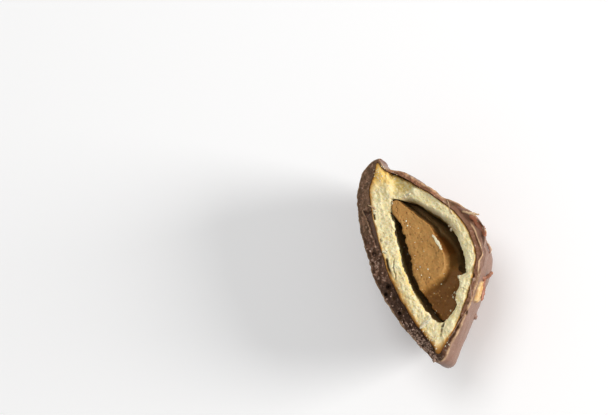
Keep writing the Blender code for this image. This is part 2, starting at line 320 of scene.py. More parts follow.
def hollow_section(y, angle, inset):
    grid = section(HOLLOW, y, angle, inset)
    grid[..., 0] -= np.where(angle > pi / 2, tooth(grid[..., 1], depth_of(grid)), 0.0)
    return grid


def settled(points):
    """Adds the slow unevenness and the lean that the whole piece shares."""
    flat = points.reshape(-1, 3)
    slow = np.empty_like(flat)
    for i, p in enumerate(flat):
        q = Vector(p) / LUMP_SIZE
        slow[i, 0] = noise.noise(q + Vector((3.1, 0.0, 0.0)))
        slow[i, 1] = noise.noise(q + Vector((0.0, 7.7, 0.0)))
        slow[i, 2] = noise.noise(q + Vector((0.0, 0.0, 5.3)))
    deep = CUT_HEIGHT - flat[:, 2:]
    return (flat + LUMP_AMOUNT * slow + LEAN * deep * np.array((-1.0, 1.0, 0.0))).reshape(points.shape)


def find_shift():
    """The move that centres the part, worked out from the same points as the part's own."""
    places = (1 + np.cos(pi * np.arange(CAD_ROWS + 1) / CAD_ROWS)) / 2
    grid = settled(coat_outside(places, pi * np.arange(CAD_COLUMNS + 1) / CAD_COLUMNS)).reshape(-1, 3)
    centre = (grid.min(0) + grid.max(0)) / 2
    return np.array((-centre[0], -centre[1], 0.0))


SHIFT = find_shift()

# The camera, and the rays that place what the photograph shows


def camera_axes():
    t, a, r = radians(OFF_NORMAL), radians(AZIMUTH), radians(ROLL)
    back = Vector((sin(t) * cos(a), sin(t) * sin(a), cos(t)))
    along = Vector((0.0, 1.0, 0.0))
    along = (along - back * along.dot(back)).normalized()
    across = along.cross(back)
    return cos(r) * across - sin(r) * along, cos(r) * along + sin(r) * across, back


RIGHT, UP, BACK = camera_axes()
FOCAL = PIXELS_PER_MM * DISTANCE
EYE = (
    Vector((0.0, 0.0, CUT_HEIGHT))
    + BACK * DISTANCE
    - RIGHT * ((CENTRE_X - PHOTO_WIDTH / 2) / PIXELS_PER_MM)
    + UP * ((CENTRE_Y - PHOTO_HEIGHT / 2) / PIXELS_PER_MM)
)


def row_frame(points):
    """From the millimetres of the cut's own frame to the row frame in metres."""
    return (np.asarray(points) + SHIFT) * MM


def places_along(count, evenly=0.6):
    t = np.arange(count + 1) / count
    return evenly * t + (1 - evenly) * (1 - np.cos(pi * t)) / 2


def angles_round(count, crowd=1.5):
    """Angles from 0 to pi, closest together at both rims."""
    t = np.linspace(-1.0, 1.0, count + 1)
    angles = pi / 2 * (1 + np.sign(t) * (1 - (1 - np.abs(t)) ** crowd))
    angles[0], angles[-1] = 0.0, pi
    return angles


def normals_of(grid):
    n = np.cross(np.gradient(grid, axis=1), np.gradient(grid, axis=0))
    return n / np.maximum(1e-9, np.linalg.norm(n, axis=-1, keepdims=True))


def rings_of(outside, inside, steps):
    """Closed rings round a bowl: outer skin, crown rim, inner skin, base rim.

    Also gives each point's share of the way across the rim, whether it is on the rim, and how
    wide the rim is there.
    """
    shares = np.linspace(0, 1, steps + 1)[1:-1]

    def band(a, b):
        return a[:, None, :] + (b - a)[:, None, :] * shares[None, :, None]

    crown = band(outside[:, -1], inside[:, -1])
    base = band(inside[:, 0], outside[:, 0])
    rings = np.concatenate([outside, crown, inside[:, ::-1], base], axis=1)
    outer, inner, rim = outside.shape[1], inside.shape[1], len(shares)
    share = np.concatenate([np.zeros(outer), shares, np.ones(inner), shares[::-1]])
    on_rim = np.repeat((0.0, 1.0, 0.0, 1.0), (outer, rim, inner, rim))
    width_crown = np.linalg.norm(outside[:, -1] - inside[:, -1], axis=-1)
    width_base = np.linalg.norm(outside[:, 0] - inside[:, 0], axis=-1)
    at_crown = np.zeros(len(share), bool)
    at_crown[outer // 2 : outer + rim + inner // 2] = True
    width = np.where(at_crown[None, :], width_crown[:, None], width_base[:, None])
    return rings, share[None, :] + 0 * width, on_rim[None, :] + 0 * width, width


def raise_rim(rings, height, share, on_rim, outer_reach, inner_reach):
    """Lifts the rim by height, and the skins below it less and less down to their reach.

    Gives how deep each point lay before.
    """
    depth = depth_of(rings)
    reach = np.where(share < 0.5, outer_reach, inner_reach)
    rings[..., 2] += height * np.where(on_rim > 0, 1.0, ramp(reach, 0.0, depth))
    return depth


def mirrored(outer, inner, steps):
    """For each place round a ring, the place that it meets where the bowl is pinched."""
    n = steps - 1
    out = np.arange(outer)[::-1]
    inn = outer + n + np.arange(inner)[::-1]
    crown = outer + n + inner + np.arange(n)[::-1]
    base = outer + np.arange(n)[::-1]
    return np.concatenate([out, crown, inn, base])


def ring_faces(rows, around, twin=None):
    """Quads between closed rings, with the pinched first and last ring sewn to itself."""
    index = np.arange(rows * around).reshape(rows, around)
    if twin is not None:
        for row in (0, rows - 1):
            index[row] = np.minimum(index[row], row * around + twin)
    nxt = np.roll(index, -1, axis=1)
    return np.stack([index[:-1], nxt[:-1], nxt[1:], index[1:]], axis=-1).reshape(-1, 4)


def signed_volume(points, faces):
    a, b, c, d = (points[faces[:, k]] for k in range(4))
    first = np.einsum("ij,ij->i", a, np.cross(b, c)).sum()
    return (first + np.einsum("ij,ij->i", a, np.cross(c, d)).sum()) / 6


def linked(name, data):
    """A new object of the scene with this data."""
    obj = bpy.data.objects.new(name, data)
    bpy.context.scene.collection.objects.link(obj)
    return obj


def mesh_object(name, points, faces, fields):
    """A mesh object from points in metres, its fields kept as vertex attributes."""
    mesh = bpy.data.meshes.new(name)
    mesh.from_pydata(points, [], faces)
    mesh.update()
    for key, values in fields.items():
        mesh.attributes.new(key, "FLOAT", "POINT").data.foreach_set("value", values)
    return linked(name, mesh)


def make_skin(name, points, faces, fields, caps=(), second=None):
    """One of the three skins, from points in the cut's frame, with its unused points left out."""
    points = points.reshape(-1, 3)
    if signed_volume(points, faces) < 0:
        faces = faces[:, ::-1]
        caps = [cap[::-1] for cap in caps]
    used = np.zeros(len(points), bool)
    used[faces.ravel()] = True
    for cap in caps:
        used[np.array(cap)] = True
    new_index = np.cumsum(used) - 1
    polygons = new_index[faces].tolist() + [[int(new_index[i]) for i in cap] for cap in caps]
    kept = {key: values.ravel()[used].astype(np.float32) for key, values in fields.items()}
    obj = mesh_object(name, row_frame(points[used]).tolist(), polygons, kept)
    if second is not None:
        obj.data.polygons.foreach_set("material_index", np.asarray(second, np.int32))
    obj.data.shade_smooth()
    return obj


def wander(points):
    """A small sideways wobble of everything near the cut, the same for every layer."""
    near = ramp(4.0, 0.5, depth_of(points))
    out = points.copy()
    for k in (0, 1):
        out[..., k] += WANDER * near * soft_noise(points[..., :2], WANDER_SIZE, WANDER_SEED + k)
    return out


def make_bowl(name, rings, outer, inner, steps, fields, second=None):
    points = settled(wander(rings))
    points[..., 2] = np.maximum(points[..., 2], 0.0)
    faces = ring_faces(rings.shape[0], rings.shape[1], mirrored(outer, inner, steps))
    return make_skin(name, points, faces, fields, second=second)


# The chocolate coat


def recess_mask(x, y):
    """Where a slab of chocolate has come off beside the crust, high on the base side."""
    ragged = 0.22 * rough_noise(np.stack([x, y], -1), 0.9, 31, 2)
    top = ramp(8.62, 8.42, y + 0.35 * (x + 3.2) + ragged)
    left = ramp(-4.5, -4.3, x + ragged + 0.06 * (y - 7.0))
    return top * left * ramp(2.4, 4.6, y) * ramp(-0.5, -1.5, x)


def facet_mask(x, y):
    """The smooth slanting facet on the crown side."""
    return ramp(7.8, 8.05, x) * window(y, 1.2, 2.4, 5.9, 6.1)


def highlight_line(y):
    """x of the wavy line where the broken band on the crown side meets the smooth flank; a painted highlight
    runs along it.
    """
    return np.interp(y, (-5.6, -3.7, -3.1, -2.5, -1.3, 0.3, 1.6), (8.9, 9.7, 10.3, 10.6, 10.5, 10.3, 9.9))


def spot(x, y, at, radius):
    """1 in the middle of a round spot, 0 outside it."""
    return ramp(1.0, 0.35, np.hypot(x - at[0], y - at[1]) / radius)


HOLES = (((-4.9, 2.4), 0.4), ((-4.3, -2.9), 0.5), ((-5.0, -3.9), 0.35), ((-3.9, -7.2), 0.35))
NOTCHES = (((6.7, -7.1), 0.55), ((6.3, -8.0), 0.4), ((5.5, -10.3), 0.5), ((8.2, -5.5), 0.4))
HOLE_DEPTH = 0.75


def coat_rim_height(p, share, width):
    """Height of the coat's broken rim above the cut plane, and what its surface looks like."""
    x, y, flat = p[..., 0], p[..., 1], p[..., :2]
    calm = ramp(15.6, 14.2, np.abs(y))
    crown = ramp(0.0, 1.2, x) * ramp(15.0, 13.0, np.abs(y))
    from_edge, from_crust = share * width, (1 - share) * width
    recess, facet = recess_mask(x, y), facet_mask(x, y)
    near, far, own = cells(flat, 0.42, 11)
    near2, far2, own2 = cells(flat, 0.85, 15)
    near3, far3, own3 = cells(flat, 0.23, 19)
    grains, grit = np.minimum(1.0, far - near), np.minimum(1.0, far3 - near3)
    coarse = rough_noise(flat, 1.5, 21, 3)

    # broken chocolate: lumps, grains and grit, with a few pits
    rough = 0.11 * coarse + 0.07 * rough_noise(flat, 0.45, 25, 2) + 0.09 * grains
    rough += 0.05 * (own - 0.5) + 0.07 * grit * (own3 > 0.4)
    rough += 0.07 * rough_noise(flat * np.array((0.3, 1.0)), 0.42, 28, 2) * ramp(6.0, 9.0, y)
    rough += 0.1 * (own2 - 0.5) * ramp(0.02, 0.2, far2 - near2)
    pits = ramp(0.5, 0.2, near2) * (own2 > 0.8) * ramp(9.0, 6.0, y)
    rough -= 0.24 * pits
    rough *= mix(1.0, 0.75, ramp(8.0, 10.0, y) * (1 - crown))
    past_highlight_line = x - highlight_line(y)
    beyond = ramp(-0.04, 0.12, past_highlight_line) * window(y, -5.4, -4.4, 1.4, 2.0) * crown
    calmer = (1 - 0.85 * recess) * (1 - 0.9 * facet) * (1 - 0.9 * beyond)
    calmer *= mix(1.0, mix(0.7, 1.3, ramp(6.3, 7.5, y)), crown)
    height = rough * calmer * calm

    # the recess with the fold round it, the smooth flank past the highlight line and that line's edge, which
    # also gets a painted highlight
    fold = bell(recess, 0.3, 0.25) * ramp(4.5, 6.0, y)
    height += 0.26 * fold - 0.95 * recess
    height -= 0.3 * beyond * np.maximum(0.0, past_highlight_line)
    height += 0.1 * bell(past_highlight_line, 0.0, 0.12) * window(y, -5.6, -4.6, 1.2, 2.0)

    # the base side's lower part, the rim's outer edge and the sunk crown side with its proud step
    lower = ramp(-1.6, -2.3, y + 0.3 * (x + 4.7) + 0.25 * coarse) * (1 - crown)
    height -= 0.28 * lower * ramp(-15.0, -11.0, y) * ramp(0.0, 0.5, from_edge)
    height -= 0.16 * bell(from_edge, 0.0, 0.18)
    sunk = 0.35 * ramp(2.0, 7.0, x) * ramp(9.0, 5.0, y)
    height -= (sunk + 0.62 * lip(p)) * ramp(0.0, 0.6, from_crust)
    step = ramp(6.0, 6.25, y + 0.25 * (x - 8.0)) * ramp(9.5, 6.3, y) * crown
    height += 0.22 * step * ramp(0.0, 0.3, from_edge)

    for at, radius in HOLES + NOTCHES:
        height -= HOLE_DEPTH * spot(x, y, at, radius)
    groove = window(y, -14.9, -14.0, -11.2, -10.4) * crown * (0.5 + 0.5 * soft_noise(flat, 0.6, 41))
    height -= 0.55 * groove * ramp(0.75, 0.15, from_crust)
    looks = {
        "pits": pits,
        "lower": lower,
        "facet": facet,
        "recess": recess,
        "beyond": beyond,
        "fold": fold,
        # painted highlight along the line on the crown side
        "line_highlight": bell(past_highlight_line, 0.1 * coarse, 0.09) * window(y, -5.8, -4.6, 1.4, 2.2),
    }
    return height, looks, (own, grains, own3, grit)


def coat_flank(outside):
    """How far the smooth outside is pushed out or in, and where it is bare."""
    depth = depth_of(outside)
    push = 0.035 * rough_noise(outside, 2.4, 51, 3) * ramp(0.0, 0.6, depth)
    push += 0.02 * rough_noise(outside, 0.7, 55, 2) * ramp(0.0, 0.5, depth)
    runs = rough_noise(outside * np.array((1.0, 1.0, 0.35)), 1.7, 61, 2)
    push += 0.05 * np.maximum(0.0, runs) * ramp(0.2, 1.0, depth)
    patch = np.linalg.norm((outside - PATCH_PLACE) / PATCH_RADII, axis=-1)
    patch += 0.17 * rough_noise(outside, 1.0, 65, 3)
    bare = ramp(1.0, 0.86, patch)
    push += 0.05 * bell(patch, 1.08, 0.09) + bare * (0.1 * rough_noise(outside, 0.6, 67, 2) - 0.32)
    under_lip = ramp(4.0, 6.5, outside[..., 0]) * window(outside[..., 1], -4.0, -2.5, 2.0, 3.4)
    under_lip *= ramp(2.2, 1.9, depth + 0.25 * rough_noise(outside, 1.1, 71, 2)) * ramp(0.1, 0.6, depth)
    return push - 0.2 * under_lip, bare


def build_coat():
    places = places_along(COAT_ROWS)
    outside = coat_outside(places, angles_round(COAT_COLUMNS))
    inside = skin(CRUST_OUTSIDE, places, angles_round(COAT_INNER), -SEAM)
    push, bare = coat_flank(outside)
    outside[..., :2] -= drawn_in(outside) * COAT_DRAWN_IN
    pinch = ramp(NOSE_FROM, NOSE_FULL, outside[..., 1]) * NOSE_PINCH * ramp(15.6, 15.4, outside[..., 1])
    outside[..., 0] -= pinch * np.maximum(0.0, outside[..., 0] - TIP_X)
    grid = close_ends(outside + normals_of(outside) * push[..., None])

    rings, share, on_rim, width = rings_of(grid, inside, COAT_STEPS)
    outer = grid.shape[1]
    outer_half = share < 0.5
    height, looks, (own, grains, own3, grit) = coat_rim_height(rings, share, width)
    depth = raise_rim(rings, height, share, on_rim, 0.9, 2.4)
    ragged = 0.07 * rough_noise(rings[..., :2], 0.5, 75, 2) * ramp(0.7, 0.0, depth)
    ragged *= outer_half * (1 - on_rim) * ramp(15.3, 14.0, np.abs(rings[..., 1]))
    rings[..., 0] += ragged * np.sign(rings[..., 0])

    from_edge = np.where(on_rim > 0, share * width, np.where(outer_half, -depth, 9.0))
    from_edge += 0.05 * rough_noise(rings, 0.35, 81, 2)
    x, y = rings[..., 0], rings[..., 1]
    crown = ramp(0.0, 1.2, x)
    calm_side = (1 - looks["facet"]) * (1 - looks["beyond"])
    dense = ramp(-8.5, -11.5, y) * (1 - crown)
    dense *= ramp(2.3, 1.0, share * width + 0.4 * (1 - crown))
    dense = np.maximum(dense, 0.3 * bell(y, 0.8, 2.2) * (1 - crown))
    dense = np.maximum(dense, 0.3 * ramp(3.0, 5.0, y) * crown * calm_side)
    dense = np.maximum(dense, 0.07 * ramp(7.0, 4.0, y))
    speck = (own * (on_rim > 0) > 1 - 0.5 * dense) * ramp(0.1, 0.45, grains)
    fine_speck = (own3 > 1 - 0.5 * dense - 0.05) * ramp(0.1, 0.5, grit)
    bare_field = np.zeros_like(share)
    bare_field[:, :outer] = bare
    along_highlight_line = window(y, -6.0, -4.8, 1.6, 2.4) * crown
    # painted highlight along the rim's outer edge, wider on the crown side
    lit_edge = bell(from_edge, 0.02, mix(0.1, 0.2, crown)) * np.where(outer_half, 1.0, on_rim)
    fields = {
        "broken": ramp(-0.02, 0.1, from_edge) * (1 - looks["beyond"] * on_rim),
        "grain": on_rim * calm_side * (1 - 0.9 * looks["recess"]),
        "lit_edge": lit_edge * (1 - along_highlight_line),
        "speck": np.maximum(speck * on_rim, 0.8 * fine_speck * on_rim),
        "bare": bare_field,
        "red": (0.35 + 0.65 * ramp(5.5, 7.0, y)) * crown * on_rim * calm_side,
        "tone": own * on_rim,
        "grit": own3 * on_rim,
    }
    fields.update({key: value * on_rim for key, value in looks.items()})
    broken = np.tile(on_rim[0] + np.roll(on_rim[0], -1) > 0, rings.shape[0] - 1)
    return make_bowl("coat", rings, outer, inside.shape[1], COAT_STEPS, fields, broken)


# The pretzel crust

SEAM_PITS = ((1.95, -10.75), (1.6, -11.2), (1.35, -11.75), (1.05, -12.2))
# place, size and whether it is on the crown side
INNER_BUMPS = ((-7.0, 0.45, True), (-7.8, 0.5, True), (-8.6, 0.35, False))


def ridge_line(y):
    """x of the bright ridge that runs down from the top tip."""
    return mix(-0.5, 0.4, ramp(14.7, 8.5, y))


def crust_rim_height(p, share, width):
    """Height of the crust's torn rim above the cut plane, and what its surface looks like."""
    x, y, flat = p[..., 0], p[..., 1], p[..., :2]
    calm = ramp(14.9, 13.6, np.abs(y + 0.1))
    crown = ramp(1.2, 2.6, x)
    from_crust, from_hollow = share * width, (1 - share) * width
    near, far, own = cells(flat, 0.5, 111)
    near2, _, own2 = cells(flat, 1.05, 115)
    coarse = rough_noise(flat, 1.6, 121, 3)
    fine = rough_noise(flat, 0.42, 125, 3)
    fibres = rough_noise(flat * np.array((1.0, 0.5)), 0.38, 128, 3)
    height = 0.09 * coarse + 0.04 * fine + 0.035 * fibres + 0.04 * np.minimum(1.0, far - near) * (own > 0.3)
    pores = np.maximum(ramp(0.45, 0.12, near) * (own > 0.88), ramp(0.35, 0.12, near2) * (own2 > 0.88))
    height = (height - 0.09 * pores) * calm

    # the ridge below the top tip, and the torn hollow to its right
    height += 0.1 * bell(x, ridge_line(y), 0.8) * window(y, 7.5, 10.0, 14.0, 15.0)
    torn = ramp(0.3, 1.5, x + 0.1 * (12.0 - y) + 0.5 * soft_noise(flat, 0.9, 137))
    torn *= ramp(9.0, 10.6, y + 0.5 * soft_noise(flat, 0.8, 138)) * ramp(14.6, 13.4, y)
    relief = 0.22 * rough_noise(flat * np.array((1.0, 0.6)), 0.75, 135, 3, 0.6)
    height += torn * (relief - 0.62 - 0.25 * ramp(0.9, 0.2, from_crust))

    # the inner edge, rolled over on the crown side
    rolled = ramp(-0.5, 3.0, y) * crown
    inner = np.where(width > 0.5, np.clip(1 - from_hollow / mix(0.9, 1.3, rolled), 0.0, 1.0), 0.0)
    inner *= window(y, -11.0, -10.2, 8.8, 9.6)
    height -= mix(inner**3 * 0.25, inner**2.2 * 1.6, rolled)

    # gaps beside the coat, the crack on the base side and the seam above the bottom tip, all also painted
    # with shade
    beside = bell(from_crust, 0.42, 0.17) * (1 - crown) * window(y, -1.6, -0.4, 8.2, 8.9)
    gaps = beside * ramp(-0.1, 0.35, soft_noise(flat * np.array((0.4, 1.0)), 0.85, 131))
    crack = bell(x, -2.25 - 0.2 * (0.4 - y) + 0.1 * fine, 0.07) * window(y, -2.6, -1.9, 0.3, 1.0)
    seam = 0.0
    for at in SEAM_PITS:
        seam = np.maximum(seam, spot(x + 0.12 * fine, y, at, 0.3))
    seam_x = np.interp(y, (-12.2, -11.2, -10.5), (1.05, 1.6, 2.0)) + 0.16 * fine
    seam_line = bell(x, seam_x, 0.1) * window(y, -12.6, -12.0, -10.8, -10.3) * ramp(-0.4, 0.3, fine)
    seam = np.maximum(0.35 * seam * (fine > -0.2), seam_line)
    height -= 0.62 * gaps + 0.3 * crack + 0.45 * seam
    height -= 0.12 * ramp(0.22, 0.0, from_crust) * calm
    looks = {
        "torn": torn,
        "fibres": np.clip(0.5 + 0.6 * fibres, 0, 1),
        "pores": pores,
        # painted shade in the gaps, the crack and the seam
        "crack_and_gap_shade": np.clip(gaps + seam + 0.7 * crack, 0, 1),
        "pale": ramp(0.1, 0.9, coarse),
    }
    return height, looks


def hollow_wall(places, angles):
    """The crust's inner skin, ragged at its rim and moved in on the crown side."""
    inside = skin(HOLLOW, places, angles, 0.0)
    y, depth = inside[..., 1], depth_of(inside)
    side = np.where(angles > pi / 2, 1.0, 0.0)[None, :]
    inside[1:-1, :, 0] -= (side * TOOTH_STANDS_OUT * tooth(y, depth, 0.22))[1:-1]
    slide = WALL_SLIDE * side * window(y, -0.5, 2.0, 5.6, 8.0)
    inside[..., 0] -= slide * mix(WALL_SLIDE_AT_RIM, 1.0, ramp(0.0, 1.5, depth)) * ramp(6.5, 2.5, depth)
    near_rim = ramp(2.2, 0.0, depth) * window(y, -10.5, -9.6, 8.2, 9.1)
    ragged = 0.15 * rough_noise(inside[..., :2] + 0.3 * inside[..., 2:], 0.7, 141, 4, 0.6)
    inside[..., 0] += ragged * near_rim * (1 - 0.6 * side * ramp(-4.5, -2.5, y))
    for at, size, on_crown in INNER_BUMPS:
        bump = size * bell(y, at, 0.42) * ramp(1.6, 0.3, depth) * (-side if on_crown else 1 - side)
        inside[1:-1, :, 0] += bump[1:-1]
    wall = 0.09 * rough_noise(inside, 1.3, 145, 3) * ramp(0.2, 1.5, depth)
    return close_ends(inside - normals_of(inside) * wall[..., None])


def build_crust():
    places = places_along(CRUST_ROWS)
    outside = skin(CRUST_OUTSIDE, places, angles_round(CRUST_OUTER), SEAM)
    inside = hollow_wall(places, angles_round(CRUST_COLUMNS, 1.4))
    rings, share, on_rim, width = rings_of(outside, inside, CRUST_STEPS)
    height, looks = crust_rim_height(rings, share, width)
    raise_rim(rings, height, share, on_rim, 2.4, 3.6)

    x, y, flat = rings[..., 0], rings[..., 1], rings[..., :2]
    crown = ramp(1.2, 2.6, x)
    wavy = 0.1 * rough_noise(rings, 0.7, 151, 2)
    from_crust = np.where(on_rim > 0, share * width, np.where(share < 0.5, 0.0, 9.0)) + wavy
    from_hollow = (1 - share) * width
    sunk = depth_of(rings) + 2 * wavy
    near_hollow = np.where(on_rim > 0, ramp(1.6, 1.2, from_hollow), share > 0.5) * ramp(9.6, 8.8, y)
    inner_gold = ramp(0.0, 0.45, soft_noise(flat * np.array((0.5, 1.0)), 0.9, 155))
    inner_gold *= ramp(0.42, 0.1, from_hollow) * (1 - crown) * window(y, -9.0, -7.0, 8.4, 9.0)
    edge_width = mix(0.3, 0.17, crown)
    lower = ramp(0.5, -3.0, y) * (1 - crown)
    low_tip, high = ramp(-11.8, -14.2, y), ramp(7.0, 10.0, y)
    browned_to = edge_width + 0.25 * lower + 1.1 * low_tip + 0.3 * high * crown
    golden_to = 2.1 * edge_width + 0.6 * lower + 1.5 * low_tip + 0.5 * high
    fields = {key: value * on_rim for key, value in looks.items()}
    fields.update(
        browned=ramp(browned_to, 0.02, from_crust),
        golden=ramp(golden_to, 0.1, from_crust),
        tip=ramp(10.2, 13.0, y - 0.25 * np.abs(x - ridge_line(y)) + 7.5 * wavy) * on_rim,
        # painted shade deepening down the hollow's wall: a mid shade, then a deep one
        olive=near_hollow * ramp(0.7, 2.0, sunk),
        deep=near_hollow * ramp(1.3, 3.2, sunk),
        inner_gold=inner_gold * on_rim,
    )
    return make_bowl("crust", rings, outside.shape[1], inside.shape[1], CRUST_STEPS, fields)


# The lump of peanut butter


def face_edge(y):
    """x of the ridge between the lump's flat face and its shoulder."""
    corner = FACE_CORNER * float(ramp(-0.8, -3.8, y))
    return min(FACE_RIGHT - FACE_SLOPE * y - corner, FACE_TOP - FACE_TOP_SLOPE * y)


def lump_deepest(y):
    return depth_at(HOLLOW, y) - LUMP_GAP


def lump_height(x, y, right):
    """Height of the lump's top, where it is the toe, and how far it has fallen off at the shoulder."""
    edge = TOE_Y - 0.35 + 0.22 * np.maximum(0.0, x - 1.2) - 0.35 * np.maximum(0.0, 1.0 - x)
    edge = edge + 0.8 * ramp(3.4, 5.4, x)
    toe = ramp(edge + 0.55, edge - 0.75, y)
    ridge = min(face_edge(y), right - 0.2)
    straight = np.clip((x - ridge + 0.1) / (right + 0.2 - ridge), 0.0, 1.0)
    gentle = 0.5 * (ramp(ridge - 0.25, right + 0.1, x) + straight)
    fall = mix(gentle, ramp(ridge - 0.12, ridge + 0.35, x), ramp(1.4, 3.2, y))
    drop = TOE_DROP * toe * mix(0.75, 1.0, ramp(-5.0, -8.0, y)) + SHOULDER_DROP * (1 - toe) * fall
    return CUT_HEIGHT - np.minimum(drop, 0.6 * lump_deepest(y)), toe, fall


def lump_row(y):
    """One ring round the lump, belly first and then its top from right to left.

    Its last four columns are the share of toe, the fall, whether it is on top, and how far in
    from the nearer side it lies.
    """
    clear = mix(LUMP_GAP, END_GAP, ramp(5.0, 8.0, y))
    wall_left, wall_right = hollow_section(np.array([y, y]), np.array([0.0, pi]), clear)[:, 0]
    gap = LEFT_GAP * ramp(LEFT_GAP_TOP + 1.5, LEFT_GAP_TOP - 1.5, y)
    gap -= LEFT_GAP_LESS * window(y, -9.6, -7.5, -2.4, -0.6)
    left = wall_left + min(gap, 0.35 * (wall_right - wall_left))
    shoulder = mix(SHOULDER_TOP, SHOULDER_BELOW, ramp(3.4, -0.8, y))
    toe_here = ramp(TOE_Y + 0.8, TOE_Y - 0.8, y)
    right = mix(face_edge(y) + shoulder, wall_right, toe_here)
    right = max(left + 0.4, min(right, wall_right))
    deepest = lump_deepest(y)
    tops = lump_height(np.array([left, right]), y, right)[0]
    share = np.clip((CUT_HEIGHT - tops) / deepest, 0.0, 1.0) ** (HOLLOW.square / 2)
    angles = np.linspace(np.arcsin(share[0]), pi - np.arcsin(share[1]), LUMP_BELLY + 1)
    belly = hollow_section(np.full(LUMP_BELLY + 1, y), angles, clear)
    deep = ramp(0.3 * deepest, 0.8 * deepest, depth_of(belly))
    belly[:, 0] = np.maximum(belly[:, 0], mix(left, wall_left, deep))
    belly[:, 0] = np.minimum(belly[:, 0], mix(right, wall_right, deep))
    belly[0, 2], belly[-1, 2] = lump_height(belly[[0, -1], 0], y, right)[0]
    shares = np.linspace(1, 0, LUMP_TOPS + 1)[1:-1]
    x = mix(belly[0, 0], belly[-1, 0], shares)
    z, toe, fall = lump_height(x, y, right)
    blank = np.zeros(LUMP_BELLY + 1)
    from_side = np.minimum(shares, 1 - shares) * (belly[-1, 0] - belly[0, 0])
    under = np.column_stack([belly, blank + toe_here, blank + 1, blank, blank])
    over = np.column_stack([x, np.full_like(x, y), z, toe, fall, np.ones_like(x), from_side])
    return np.concatenate([under, over])


def build_lump():
    t = np.arange(LUMP_ROWS + 1) / LUMP_ROWS
    places = mix(LUMP_BOTTOM, LUMP_TOP, 0.75 * t + 0.25 * (1 - np.cos(pi * t)) / 2)
    rows = np.array([lump_row(y) for y in places])
    rings = rows[..., :3].copy()
    toe, fall, on_top, from_side = (rows[..., k] for k in range(3, 7))
    flat = rings[..., :2].copy()
    edge = ramp(0.0, 0.3, from_side)
    ends = window(rings[..., 1], -9.95, -9.6, 8.5, 8.8)
    near, _, own = cells(flat, 0.34, 211)
    dimples = ramp(0.45, 0.1, near) * (own > 0.86)
    bumps = ramp(0.5, 0.15, near) * (own < 0.12)
    height = 0.09 * rough_noise(flat, 2.0, 201, 2) + 0.035 * rough_noise(flat, 0.5, 205, 3)
    height += 0.06 * bumps - 0.09 * dimples
    height += 0.1 * (toe + (1 - toe) * fall) * rough_noise(flat, 1.1, 215, 2)
    rings[..., 2] += height * on_top * edge * ends
    ragged = 0.16 * rough_noise(flat * np.array((0.2, 1.0)), 0.8, 223, 3, 0.6)
    left_share = [np.linspace(1, 0, LUMP_BELLY + 1) ** 2, np.linspace(0, 1, LUMP_TOPS + 1)[1:-1] ** 3]
    rings[..., 0] += ragged * np.concatenate(left_share) * ends * ramp(7.0, 5.5, rings[..., 1])
    side = (1 - on_top) * ramp(6.0, 1.0, depth_of(rings))
    rings[..., 0] += 0.1 * side * rough_noise(rings[..., 1:], 0.7, 221, 3) * ends
    rings[..., 2] -= ROUNDED_EDGE * (1 - edge) ** 2 * on_top * ends
    rings[:, (0, LUMP_BELLY), 2] -= ROUNDED_EDGE * ends[:, (0, LUMP_BELLY)]
    y = rings[..., 1]
    upper = ramp(1.6, 3.2, y)
    on_face = on_top * (fall < 0.3)
    fields = {
        # the toe, the slope and the gap below are painted with shade in the butter's material
        "toe": toe,
        "slope_shade": ramp(0.0, 0.06, fall) * (1 - toe) * mix(1.0, 0.42, ramp(-0.6, -2.4, y)),
        "gap": ramp(mix(0.72, 0.04, upper), mix(0.95, 0.3, upper), fall) * (1 - toe),
        "dimples": dimples * on_face,
        "bumps": bumps * on_face,
    }
    count = rings.shape[1]
    last = LUMP_ROWS * count
    caps = [list(range(count))[::-1], [last + k for k in range(count)]]
    return make_skin("filling", settled(wander(rings)), ring_faces(LUMP_ROWS + 1, count), fields, caps)


# Materials


def plug(tree, socket, value):
    if isinstance(value, bpy.types.NodeSocket):
        tree.links.new(value, socket)
    else:
        socket.default_value = value


